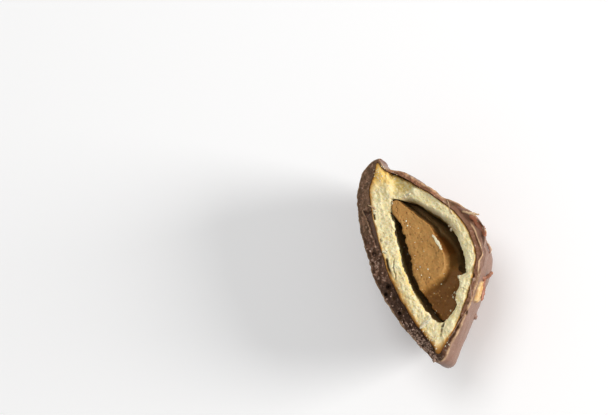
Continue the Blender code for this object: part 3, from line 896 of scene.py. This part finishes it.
class Painter:
    """Builds one material step by step from noises, masks and named colours."""

    def __init__(self, name, roughness, subsurface=0.0, specular=0.5):
        self.material = bpy.data.materials.new(name)
        self.material.use_nodes = True
        self.tree = self.material.node_tree
        self.inputs = self.tree.nodes["Principled BSDF"].inputs
        self.inputs["Roughness"].default_value = roughness
        self.inputs["Specular IOR Level"].default_value = specular
        self.inputs["Subsurface Weight"].default_value = subsurface
        self.inputs["Subsurface Scale"].default_value = 0.4 * MM
        scaled = self.add("VectorMath", {"operation": "SCALE"}, Vector=self.add("TexCoord").outputs["Object"])
        scaled.inputs["Scale"].default_value = 1 / MM
        self.place = scaled.outputs["Vector"]

    def add(self, kind, settings=None, **values):
        made = self.tree.nodes.new("ShaderNode" + kind)
        for name, value in (settings or {}).items():
            setattr(made, name, value)
        for name, value in values.items():
            plug(self.tree, made.inputs[name.replace("_", " ")], value)
        return made

    def mask(self, name):
        return self.add("Attribute", {"attribute_name": name}).outputs["Fac"]

    def noise(self, size, detail=3.0, low=0.35, high=0.65):
        made = self.add("TexNoise", Vector=self.place, Scale=1 / size, Detail=detail)
        return self.ranged(made.outputs["Fac"], low, high)

    def grains(self, size, low, high):
        made = self.add("TexVoronoi", Vector=self.place, Scale=1 / size)
        return self.ranged(made.outputs["Distance"], low, high)

    def ranged(self, value, low, high, to_low=0.0, to_high=1.0):
        ends = {"From_Min": low, "From_Max": high, "To_Min": to_low, "To_Max": to_high}
        return self.add("MapRange", Value=value, **ends).outputs["Result"]

    def math(self, operation, a, b):
        made = self.add("Math", {"operation": operation})
        plug(self.tree, made.inputs[0], a)
        plug(self.tree, made.inputs[1], b)
        return made.outputs[0]

    def times(self, a, b):
        return self.math("MULTIPLY", a, b)

    def weighed(self, a, share_a, b, share_b):
        return self.math("ADD", self.times(a, share_a), self.times(b, share_b))

    def blend(self, a, b, share):
        made = self.add("Mix", {"data_type": "RGBA"})
        plug(self.tree, made.inputs[0], share)
        for socket, value in ((made.inputs[6], a), (made.inputs[7], b)):
            plug(self.tree, socket, value if isinstance(value, bpy.types.NodeSocket) else (*value, 1.0))
        return made.outputs[2]

    def tints(self, colour, *layers):
        """The colour under further ones, each held back by a mask and a share."""
        for tint, mask, share in layers:
            colour = self.blend(colour, tint, self.times(self.mask(mask), share))
        return colour

    def finish(self, colour, relief, distance, strength):
        plug(self.tree, self.inputs["Base Color"], colour)
        bump = self.add("Bump", Height=relief, Distance=distance * MM, Strength=strength)
        plug(self.tree, self.inputs["Normal"], bump.outputs["Normal"])
        return self.material


# Linear colours, chosen against the photograph
MILK = (0.235, 0.128, 0.088)
MILK_DARK = (0.165, 0.085, 0.056)
MILK_BLOOM = (0.36, 0.235, 0.18)
BROKEN = (0.105, 0.054, 0.03)
BROKEN_DARK = (0.04, 0.021, 0.013)
BROKEN_RED = (0.3, 0.125, 0.065)
FLAKE_RED = (0.33, 0.11, 0.05)
RECESS = (0.2, 0.125, 0.09)
FACET = (0.17, 0.085, 0.052)
# painted highlight for the chocolate's thin lit edges, the line on the crown side, the fold and the flakes
EDGE_HIGHLIGHT = (0.55, 0.37, 0.21)
GRAIN_PALE = (0.36, 0.25, 0.19)
BARE = (0.5, 0.28, 0.1)
CRUMB = (0.72, 0.6, 0.3)
CRUMB_PALE = (0.84, 0.77, 0.5)
CRUMB_SHADE = (0.5, 0.38, 0.15)
CRUMB_GOLD = (0.66, 0.49, 0.17)
CRUMB_WHITE = (0.82, 0.77, 0.58)
OLIVE = (0.6, 0.44, 0.13)
# painted shade part way down the hollow's wall
WALL_SHADE_MID = (0.33, 0.22, 0.065)
GOLD = (0.88, 0.57, 0.15)
GOLD_DEEP = (0.62, 0.3, 0.055)
CRUST_GOLD = (0.52, 0.26, 0.04)
CRUST_BROWN = (0.25, 0.095, 0.018)
# painted shade deep down the hollow's wall
WALL_SHADE_DEEP = (0.165, 0.1, 0.038)
# painted shade in pits, gaps, the crack and the seam
PIT_SHADE = (0.07, 0.035, 0.012)
BUTTER = (0.37, 0.182, 0.043)
BUTTER_PALE = (0.45, 0.24, 0.072)
# painted shade for the lump's toe and slope
BUTTER_SHADE = (0.13, 0.042, 0.003)
BUTTER_SPECK = (0.17, 0.065, 0.02)
# painted shade where the lump falls into the gap beside the wall
GAP_SHADE = (0.2, 0.11, 0.036)
SALT = (0.85, 0.76, 0.62)
SCRAP = (0.66, 0.57, 0.36)
SCRAP_WHITE = (0.66, 0.6, 0.45)
PAPER = (0.985, 0.99, 1.0)


def paint_coat(name, specular):
    p = Painter(name, 0.42, 0.06, specular)
    cloud = p.noise(2.2, 4.0, 0.3, 0.7)
    fine = p.noise(0.35, 4.0, 0.3, 0.7)
    smear = p.noise(0.9, 5.0, 0.56, 0.72)
    outside = p.blend(MILK_DARK, MILK, p.weighed(cloud, 0.6, fine, 0.4))
    outside = p.blend(outside, MILK_BLOOM, p.times(smear, 0.35))
    crystal = p.grains(0.16, 0.1, 0.55)
    inside = p.blend(BROKEN_DARK, BROKEN, p.weighed(crystal, 0.5, fine, 0.5))
    inside = p.blend(inside, MILK, p.ranged(p.mask("tone"), 0.4, 1.0, 0.0, 0.3))
    inside = p.blend(inside, MILK, p.ranged(p.mask("grit"), 0.55, 1.0, 0.0, 0.45))
    inside = p.blend(inside, BROKEN_DARK, p.ranged(p.mask("grit"), 0.4, 0.0, 0.0, 0.5))
    inside = p.tints(
        inside,
        (BROKEN_DARK, "lower", 0.8),
        (RECESS, "recess", 0.9),
        (FACET, "facet", 1.0),
        (BROKEN_RED, "red", 0.8),
        (GRAIN_PALE, "speck", p.noise(0.22, 3.0, 0.35, 0.6)),
        # painted shade in the pits
        (PIT_SHADE, "pits", 0.6),
    )
    bare = p.blend(BARE, GOLD_DEEP, p.times(fine, 0.5))
    bare = p.blend(bare, CRUMB, p.times(p.noise(0.6, 4.0, 0.4, 0.6), 0.5))
    colour = p.tints(
        p.blend(outside, inside, p.mask("broken")),
        # painted highlights along the rim's outer edge and along the crown side's line; the fold round the
        # recess gets some, partly its own lighter brown
        (EDGE_HIGHLIGHT, "lit_edge", p.ranged(p.noise(0.8, 3.0, 0.35, 0.6), 0.0, 1.0, 0.25, 0.85)),
        (EDGE_HIGHLIGHT, "line_highlight", 0.85),
        (EDGE_HIGHLIGHT, "fold", 0.3),
        (bare, "bare", 1.0),
    )
    rough = p.ranged(p.mask("broken"), 0.0, 1.0, 0.4, 0.72)
    plug(p.tree, p.inputs["Roughness"], p.math("ADD", rough, p.ranged(cloud, 0.0, 1.0, -0.06, 0.08)))
    return p.finish(colour, p.weighed(p.noise(0.12, 4.0), 0.4, crystal, p.mask("grain")), 0.06, 0.7)


def paint_crust():
    p = Painter("crumb", 0.85, 0.12, 0.1)
    fine = p.noise(0.2, 4.0, 0.35, 0.65)
    pores = p.grains(0.3, 0.08, 0.4)
    colour = p.blend(CRUMB, CRUMB_PALE, p.times(p.noise(0.9, 4.0, 0.3, 0.7), 0.8))
    colour = p.blend(colour, CRUMB_GOLD, p.times(p.noise(0.45, 3.0, 0.45, 0.68), 0.55))
    colour = p.blend(colour, CRUMB_PALE, p.ranged(p.mask("fibres"), 0.5, 1.0, 0.0, 0.6))
    colour = p.blend(colour, CRUMB_GOLD, p.times(p.noise(0.26, 2.0, 0.5, 0.66), 0.4))
    colour = p.blend(colour, CRUMB_WHITE, p.times(p.noise(0.3, 3.0, 0.5, 0.66), 0.6))
    shaded = p.times(pores, p.ranged(fine, 0.0, 1.0, 0.6, 1.1))
    colour = p.blend(CRUMB_SHADE, colour, p.ranged(shaded, 0.0, 0.75, 0.78, 1.0))
    mottled = p.ranged(fine, 0.0, 1.0, 0.7, 1.0)
    colour = p.tints(
        colour,
        (CRUMB_PALE, "pale", 0.6),
        (OLIVE, "torn", p.ranged(p.noise(0.4, 4.0, 0.4, 0.6), 0.0, 1.0, 0.3, 1.0)),
        (GOLD, "tip", mottled),
        (GOLD, "inner_gold", 0.8),
        (CRUST_GOLD, "golden", mottled),
        (CRUST_BROWN, "browned", 0.9),
        # painted shade deepening down the hollow's wall
        (WALL_SHADE_MID, "olive", 1.0),
        (WALL_SHADE_DEEP, "deep", 1.0),
        (CRUMB_SHADE, "pores", 0.35),
        # painted shade in the gaps, the crack and the seam
        (PIT_SHADE, "crack_and_gap_shade", 1.0),
    )
    return p.finish(colour, p.weighed(fine, 0.6, pores, 0.6), 0.05, 0.55)


def paint_butter():
    p = Painter("butter", 0.6, 0.12, 0.25)
    cloud = p.noise(1.6, 4.0, 0.3, 0.7)
    fine = p.noise(0.16, 3.0, 0.35, 0.65)
    colour = p.blend(BUTTER, BUTTER_PALE, p.weighed(cloud, 0.45, fine, 0.35))
    colour = p.blend(colour, BUTTER_SPECK, p.times(p.grains(0.9, 0.12, 0.05), 0.6))
    colour = p.tints(
        colour,
        # painted shade on the toe, the slope and where the lump falls into the gap
        (BUTTER_SHADE, "toe", 0.78),
        (BUTTER_SHADE, "slope_shade", 0.97),
        (GAP_SHADE, "gap", 0.95),
        (BUTTER_SPECK, "dimples", 0.5),
        (BUTTER_PALE, "bumps", 0.7),
    )
    return p.finish(colour, p.weighed(fine, 1.0, cloud, 0.3), 0.03, 0.6)


def plain(name, a, b, roughness, subsurface=0.0):
    p = Painter(name, roughness, subsurface)
    fine = p.noise(0.2, 4.0)
    return p.finish(p.blend(a, b, fine), fine, 0.04, 0.6)


def paint_flakes():
    """Reddish brown where lit is 0, milk brown at the middle and a painted highlight at 1."""
    p = Painter("chocolate_flake", 0.45, 0.1)
    fine, lit = p.noise(0.25, 4.0), p.mask("lit")
    colour = p.blend(FLAKE_RED, MILK, p.ranged(lit, 0.15, 0.5))
    colour = p.blend(colour, EDGE_HIGHLIGHT, p.ranged(lit, 0.55, 0.9))
    colour = p.blend(colour, BROKEN, p.times(fine, 0.25))
    return p.finish(colour, fine, 0.04, 0.5)


# The three skins in place


def finish_piece(obj, materials, slot, *nodes):
    for each in materials:
        obj.data.materials.append(each)
    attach(obj, "root")
    if nodes:
        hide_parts(*nodes)
    return obj


coat_paints = (paint_coat("chocolate", 0.4), paint_coat("broken_chocolate", 0.12))
SKINS = (
    finish_piece(build_coat(), coat_paints, "chocolate", "chocolate_coat"),
    finish_piece(build_crust(), [paint_crust()], "pretzel", "pretzel_crust"),
    finish_piece(build_lump(), [paint_butter()], "peanut_butter", "peanut_butter"),
)


def search_tree(objects):
    """One search tree over the meshes of several pieces, in the row frame."""
    points, polygons = [], []
    for obj in objects:
        start = len(points)
        points += [v.co.copy() for v in obj.data.vertices]
        polygons += [[start + i for i in p.vertices] for p in obj.data.polygons]
    return BVHTree.FromPolygons(points, polygons)


SHIFTED_EYE = Vector(row_frame(EYE))
SEEN = search_tree(SKINS)


def through_cut(x, y, below):
    """The place so far below the cut that the camera sees through a point of the cut plane."""
    start = Vector(row_frame((x, y, CUT_HEIGHT)))
    away = (start - SHIFTED_EYE).normalized()
    return start - away * (below * MM / away.z)


def seen_at(x, y, deepest=2 * CUT_HEIGHT):
    """Where the camera's line through a point of the cut plane meets the piece, if not too deep."""
    through = Vector(row_frame((x, y, CUT_HEIGHT)))
    away = (through - SHIFTED_EYE).normalized()
    place, normal, _, _ = SEEN.ray_cast(SHIFTED_EYE, away)
    if place is None or place.z <= (CUT_HEIGHT - deepest) * MM:
        return None
    return place, normal if normal.dot(away) < 0 else -normal


def closest_below(x, y):
    """How far below the cut the camera's line through a point of it comes closest to the piece."""
    depths = np.arange(0.1, 6.0, 0.15)
    away = [SEEN.find_nearest(through_cut(x, y, below))[3] for below in depths]
    return float(depths[int(np.argmin(away))])


def ball():
    """Points and faces of an icosahedron."""
    g = (1 + 5**0.5) / 2
    points = [(-1, g, 0), (1, g, 0), (-1, -g, 0), (1, -g, 0), (0, -1, g), (0, 1, g)]
    points += [(0, -1, -g), (0, 1, -g), (g, 0, -1), (g, 0, 1), (-g, 0, -1), (-g, 0, 1)]
    points = [Vector(p).normalized() for p in points]
    faces = []
    for a, b, c in product(range(12), repeat=3):
        if a < b < c:
            sides = [(points[i] - points[j]).length for i, j in ((a, b), (b, c), (c, a))]
            if max(sides) < 1.1:
                out = (points[b] - points[a]).cross(points[c] - points[a]).dot(points[a])
                faces.append((a, b, c) if out > 0 else (a, c, b))
    return points, faces


def along_path(path, place):
    """A point on the smooth curve through a path's points, place counted in points."""
    k = min(int(place), len(path) - 2)
    t = place - k
    a, b, c, d = (np.array(path[min(max(i, 0), len(path) - 1)]) for i in (k - 1, k, k + 1, k + 2))
    curve = 2 * b + (c - a) * t + (2 * a - 5 * b + 4 * c - d) * t**2 + (3 * b - a - 3 * c + d) * t**3
    return curve / 2


BALL_POINTS, BALL_FACES = ball()
STRIP_STEPS, STRIP_SIDES = 5, 8
DEEPEST_FLAKE = 2.8


class Heap:
    """Gathers many small closed bodies into one mesh."""

    def __init__(self, seed):
        self.random = np.random.default_rng(seed)
        self.points, self.faces, self.lit = [], [], []

    def blob(self, place, normal, size, stretch=(1.0, 1.0, 1.0), turn=None, sink=0.25, rough=0.35):
        """An uneven twenty sided grain that sits a little sunk in its surface."""
        start = len(self.points)
        away = normal.to_track_quat("Z", "Y").to_matrix()
        spun = away @ Matrix.Rotation(self.random.uniform(0, 2 * pi) if turn is None else turn, 3, "Z")
        for q in BALL_POINTS:
            grow = 1 + rough * self.random.uniform(-1, 1)
            local = Vector([q[k] * stretch[k] * size * grow / 2 for k in range(3)])
            local.z += size * stretch[2] * (0.5 - sink)
            self.points.append(place + spun @ (local * MM))
        self.faces += [[start + i for i in face] for face in BALL_FACES]
        self.lit += [0.5] * len(BALL_POINTS)

    def blobs(self, listed, stretch, **settings):
        """Grains of the listed sizes where the camera sees the listed points of the cut plane."""
        for (x, y), size in listed:
            found = seen_at(x, y)
            if found:
                self.blob(*found, size, stretch, **settings)

    def strip(self, path, width, thickness, lit=(0.0, 1.0), ragged=0.5, blunt=0.35):
        """A thin flake along a path of places on the cut plane, as the camera sees them.

        lit is the tint at its left and at its right edge. Where the camera's line misses the
        piece, the flake hangs where that line comes closest to it.
        """
        count = STRIP_STEPS * (len(path) - 1)
        places = [along_path(path, k / STRIP_STEPS) for k in range(count + 1)]
        depths, normals = [], []
        for x, y in places:
            found = seen_at(x, y)
            below = CUT_HEIGHT - found[0].z / MM if found else closest_below(x, y)
            depths.append(min(below, DEEPEST_FLAKE))
            normals.append((BACK + 0.7 * (found[1] if found else BACK)).normalized())
        nearby = [depths[max(0, k - 1) : k + 2] for k in range(count + 1)]
        centres = [through_cut(*place, sum(some) / len(some)) for place, some in zip(places, nearby)]
        start = len(self.points)
        for k, centre in enumerate(centres):
            along = (centres[min(count, k + 1)] - centres[max(0, k - 1)]).normalized()
            across = along.cross(normals[k]).normalized()
            up = across.cross(along)
            t = k / count
            taper = min(1.0, max(0.04, 4 * t * (1 - t)) ** blunt)
            for j in range(STRIP_SIDES):
                turn = 2 * pi * j / STRIP_SIDES
                rag = 1 + ragged * self.random.uniform(-1, 1)
                out = across * (cos(turn) * width / 2 * taper * rag)
                out += up * (sin(turn) * thickness / 2 * taper**0.5 + thickness * 0.15)
                self.points.append(centre + out * MM)
                self.lit.append(mix(lit[0], lit[1], (1 + cos(turn)) / 2))
        ring = list(range(STRIP_SIDES))
        for k in range(count):
            low, high = start + k * STRIP_SIDES, start + (k + 1) * STRIP_SIDES
            for j in ring:
                n = (j + 1) % STRIP_SIDES
                self.faces.append([low + j, high + j, high + n, low + n])
        self.faces.append([start + j for j in ring])
        self.faces.append([start + count * STRIP_SIDES + j for j in reversed(ring)])

    def make(self, name, material, slot):
        obj = mesh_object(name, self.points, self.faces, {"lit": self.lit})
        return finish_piece(obj, [material], slot)


# Flakes of chocolate that stand proud of the crown side and of the ledge: path, width,
# thickness and the tints of both edges, where 1 is a painted highlight
FLAKES = (
    # the fracture line and the facet's outer edge with its painted highlight, out to its hook
    (((7.95, 6.3), (7.9, 5.4), (7.85, 4.6), (8.0, 3.9)), 0.16, 0.12, (0.75, 1.0)),
    (((9.5, 3.9), (10.2, 3.4), (10.9, 3.0), (11.75, 2.55)), 0.4, 0.2, (1.0, 0.8)),
    (((10.3, 3.4), (10.9, 2.8), (11.25, 2.2)), 0.3, 0.2, (0.7, 1.0)),
    # the reddish scallop and the small one below it
    (((10.35, 2.9), (10.95, 2.1), (11.3, 1.0), (11.6, 0.0), (11.55, -0.7)), 0.85, 0.2, (0.2, -1.0)),
    (((11.15, 1.9), (11.55, 0.85), (11.92, -0.1), (11.75, -0.75)), 0.2, 0.16, (1.0, 0.8)),
    (((11.45, -1.2), (11.6, -2.0), (11.72, -2.9), (11.4, -3.3)), 0.42, 0.14, (1.0, 0.1)),
    # torn reddish flakes beside the bare patch
    (((9.4, -6.4), (10.0, -6.4), (10.6, -6.25), (11.0, -5.9)), 0.6, 0.14, (0.35, 0.15)),
    (((10.0, -6.3), (9.4, -7.0), (9.1, -7.7), (8.7, -8.7), (8.3, -9.4)), 0.6, 0.16, (0.25, 0.05)),
    # the broken corner of the ledge above the recess
    (((-3.5, 9.5), (-3.15, 9.15), (-2.75, 8.75), (-2.75, 8.45)), 0.24, 0.24, (0.8, 1.0)),
    (((-4.3, 7.75), (-3.8, 8.05), (-3.3, 8.3)), 0.2, 0.16, (0.6, 0.8)),
    # the ragged edge of the groove at the lower right
    (((7.5, -6.6), (7.2, -7.6), (6.9, -8.6)), 0.2, 0.16, (0.4, 0.8)),
    (((5.9, -9.9), (5.0, -10.75), (4.0, -11.5), (2.9, -12.5), (1.5, -13.7)), 0.16, 0.16, (0.4, 0.8)),
)
NUB = (6.75, -11.2)
flakes = Heap(11)
for flake in FLAKES:
    flakes.strip(*flake, ragged=0.45, blunt=0.3)
nub_place = through_cut(*NUB, closest_below(*NUB))
flakes.blob(nub_place, RIGHT, 1.4, (0.9, 1.1, 0.8), turn=0.3, sink=0.62, rough=0.12)
flakes.make("chocolate_flakes", paint_flakes(), "chocolate").data.shade_smooth()

# Grains of chocolate on the broken base, denser towards the bottom tip
PALE_GRAINS = (
    ((-0.9, -15.3), 0.75), ((-1.3, -14.9), 0.45), ((-1.7, -14.3), 0.6), ((-1.2, -14.4), 0.4),
    ((-2.1, -13.6), 0.45), ((-2.7, -12.7), 0.4), ((-2.2, -12.9), 0.35), ((-3.2, -11.6), 0.4),
    ((-2.5, -11.9), 0.35), ((-3.6, -10.4), 0.4), ((-3.0, -10.9), 0.35), ((-4.1, 7.8), 0.4),
)
CHOCOLATE_TRIES, CHOCOLATE_SIZE = 270, (0.12, 0.36)
SPARSE_ABOVE, SPARSE_SKIPPED = -8.5, 0.85
crumbs = Heap(5)
crumbs.blobs(PALE_GRAINS, (1.0, 0.8, 0.8), sink=0.45)
for _ in range(CHOCOLATE_TRIES):
    y = crumbs.random.uniform(-15.2, 14.0)
    if y > SPARSE_ABOVE and crumbs.random.uniform() < SPARSE_SKIPPED:
        continue
    outer = -float(fall_off(COAT_OUTSIDE.base, np.array(y), COAT_OUTSIDE))
    inner = -float(fall_off(CRUST_OUTSIDE.base, np.array(max(-14.5, min(14.9, y))), CRUST_OUTSIDE))
    x = mix(outer + 0.15, inner - 0.15, crumbs.random.uniform())
    if float(recess_mask(np.array(x), np.array(y))) > 0.1:
        continue
    found = seen_at(x, y)
    if found:
        crumbs.blob(*found, crumbs.random.uniform(*CHOCOLATE_SIZE), sink=0.45, rough=0.45)
crumbs.make("chocolate_crumbs", plain("chocolate_crumb", GRAIN_PALE, MILK_DARK, 0.7), "chocolate")

# Crumbs of pretzel torn loose on the cut
LOOSE = (
    ((-3.2, 2.1), 0.5), ((-3.0, 1.8), 0.35), ((-2.3, 3.1), 0.35), ((-2.5, 4.2), 0.3),
    ((7.3, 1.9), 0.75), ((7.1, 2.5), 0.5), ((2.9, 8.9), 0.55), ((2.2, 8.8), 0.4),
    ((1.3, -8.9), 0.4), ((0.4, -9.3), 0.35), ((3.6, -9.3), 0.35), ((4.5, -7.6), 0.4),
    ((4.9, -7.0), 0.35), ((6.2, -5.0), 0.4), ((-2.9, 7.9), 0.3), ((4.6, 9.3), 0.3),
)
SCRAPS = (
    # the white scrap on the lump's ridge
    (((4.3, 2.1), (4.55, 1.3), (4.75, 0.5), (4.95, -0.5)), 0.4, 0.14),
    (((4.5, 1.5), (4.75, 0.7), (4.95, 0.0)), 0.3, 0.14),
    (((0.1, 9.0), (0.05, 8.3)), 0.2, 0.14),
    # the torn flap over the base side
    (((-1.5, -10.3), (-0.9, -10.05), (-0.2, -9.9), (0.5, -9.5)), 0.42, 0.3),
    (((-0.9, -9.8), (-0.3, -9.6), (0.3, -9.7)), 0.3, 0.3),
)
# where crumbs stand up in clusters, round the notch and along the crown side's inner edge:
# place, radius and number
CLUSTERS = (
    ((0.3, -9.3), 0.5, 9), ((0.9, -8.9), 0.4, 7), ((1.3, -9.7), 0.4, 6), ((2.9, -9.9), 0.35, 6),
    ((3.3, -9.2), 0.35, 6), ((4.4, -8.0), 0.5, 14), ((5.0, -7.0), 0.5, 12), ((6.2, -5.0), 0.35, 6),
    ((7.6, 1.9), 0.35, 7), ((2.6, 8.9), 0.4, 7), ((-3.1, 2.0), 0.35, 7), ((-2.4, 3.2), 0.3, 5),
    ((-2.8, 8.2), 0.3, 5), ((0.2, -12.4), 0.5, 6),
)
CLUSTER_SIZE, CLUSTER_DEEPEST = (0.16, 0.36), 1.1
PRETZEL_TRIES, PRETZEL_SIZE, PRETZEL_DEEPEST = 260, (0.1, 0.26), 1.2
loose = Heap(7)
for scrap in SCRAPS:
    loose.strip(*scrap)
for (x, y), radius, count in CLUSTERS:
    for _ in range(count):
        turn, away = loose.random.uniform(0, 2 * pi), radius * loose.random.uniform() ** 0.5
        found = seen_at(x + away * cos(turn), y + away * sin(turn), CLUSTER_DEEPEST)
        if found:
            loose.blob(*found, loose.random.uniform(*CLUSTER_SIZE), (1.0, 0.85, 0.8), sink=0.4)
loose.blobs(LOOSE, (1.0, 0.8, 0.6))
for _ in range(PRETZEL_TRIES):
    y = loose.random.uniform(-14.0, 14.4)
    base = loose.random.uniform() < 0.5
    side = (CRUST_OUTSIDE.base, HOLLOW.base) if base else (CRUST_OUTSIDE.crown, HOLLOW.crown)
    outer = float(fall_off(side[0], np.array(y), CRUST_OUTSIDE))
    inner = float(fall_off(side[1], np.array(y), HOLLOW)) if HOLLOW.bottom < y < HOLLOW.top else 0.0
    inner += -axis_at(HOLLOW, y) if base else axis_at(HOLLOW, y)
    x = mix(max(0.0, inner), outer, loose.random.uniform(0.05, 0.85)) * (-1 if base else 1)
    found = seen_at(x, y, PRETZEL_DEEPEST)
    if found:
        loose.blob(*found, loose.random.uniform(*PRETZEL_SIZE), (1.0, 0.85, 0.7), sink=0.35)
loose.make("pretzel_crumbs", plain("pretzel_crumb", SCRAP, SCRAP_WHITE, 0.85, 0.1), "pretzel")

# Specks of salt and sugar in the peanut butter
SPECKS = (
    ((1.2, 5.3), 0.3), ((1.2, 4.6), 0.24), ((1.2, -1.8), 0.26), ((2.2, -2.5), 0.3), ((3.4, -5.2), 0.26),
    ((-0.2, 1.8), 0.2), ((1.5, 1.9), 0.16), ((0.7, -2.0), 0.16), ((1.0, -3.0), 0.18), ((2.0, -3.7), 0.16),
    ((0.0, 0.6), 0.18), ((2.6, 3.7), 0.14), ((2.4, 0.2), 0.14), ((1.6, -8.7), 0.16), ((4.2, -3.9), 0.14),
)
SALT_TRIES, SALT_SIZE, SALT_DEEPEST = 20, (0.06, 0.13), 3.4
salt = Heap(9)
salt.blobs(SPECKS, (1.0, 0.8, 0.55), sink=0.45, rough=0.25)
for _ in range(SALT_TRIES):
    x, y = salt.random.uniform(0.0, 5.0), salt.random.uniform(-9.0, 8.0)
    found = seen_at(x, y, SALT_DEEPEST)
    if found and 0.25 < x < face_edge(y) - 0.3:
        salt.blob(*found, salt.random.uniform(*SALT_SIZE), (1.0, 0.8, 0.5), sink=0.5, rough=0.25)
salt.make("salt_specks", plain("salt", SALT, CRUMB_PALE, 0.35, 0.2), "peanut_butter")

# The stage

FLOOR_HALF = 2.0
# name, direction as the camera's right, up and back, then distance, size, power and colour
LIGHTS = (
    ("key", (0.82, 0.12, 0.56), 0.7, 0.3, 5.6, (1.0, 0.985, 0.965)),
    ("front", (-0.35, 0.5, 0.8), 0.7, 0.4, 1.5, (1.0, 1.0, 1.0)),
)
SKY_COLOUR, SKY_STRENGTH = (1.0, 0.99, 0.975, 1.0), 0.42


def build_stage():
    corners = [(x * FLOOR_HALF, y * FLOOR_HALF, 0.0) for x, y in ((-1, -1), (1, -1), (1, 1), (-1, 1))]
    floor = mesh_object("floor", corners, [(0, 1, 2, 3)], {})
    paper = Painter("paper", 0.9)
    paper.inputs["Base Color"].default_value = (*PAPER, 1.0)
    floor.data.materials.append(paper.material)


def build_lights():
    for name, (right, up, back), distance, size, power, colour in LIGHTS:
        data = bpy.data.lights.new(name, "AREA")
        data.shape, data.size, data.energy, data.color = "DISK", size, power, colour
        light = linked(name, data)
        direction = (RIGHT * right + UP * up + BACK * back).normalized()
        light.location = direction * distance
        light.rotation_mode = "QUATERNION"
        light.rotation_quaternion = direction.to_track_quat("Z", "Y")
    world = bpy.data.worlds.new("studio")
    world.use_nodes = True
    background = world.node_tree.nodes["Background"]
    background.inputs["Color"].default_value = SKY_COLOUR
    background.inputs["Strength"].default_value = SKY_STRENGTH
    bpy.context.scene.world = world


def build_camera():
    data = bpy.data.cameras.new("camera")
    data.sensor_width = SENSOR
    data.lens = SENSOR * FOCAL / PHOTO_WIDTH
    data.clip_start, data.clip_end = 0.01, 10.0
    camera = linked("camera", data)
    turn = Matrix((RIGHT, UP, BACK)).transposed().to_4x4()
    camera.matrix_world = Matrix.Translation(SHIFTED_EYE) @ turn
    bpy.context.scene.camera = camera


build_stage()
build_lights()
build_camera()
view = bpy.context.scene.view_settings
view.view_transform = "Standard"
view.look = "None"
view.exposure = 0.0
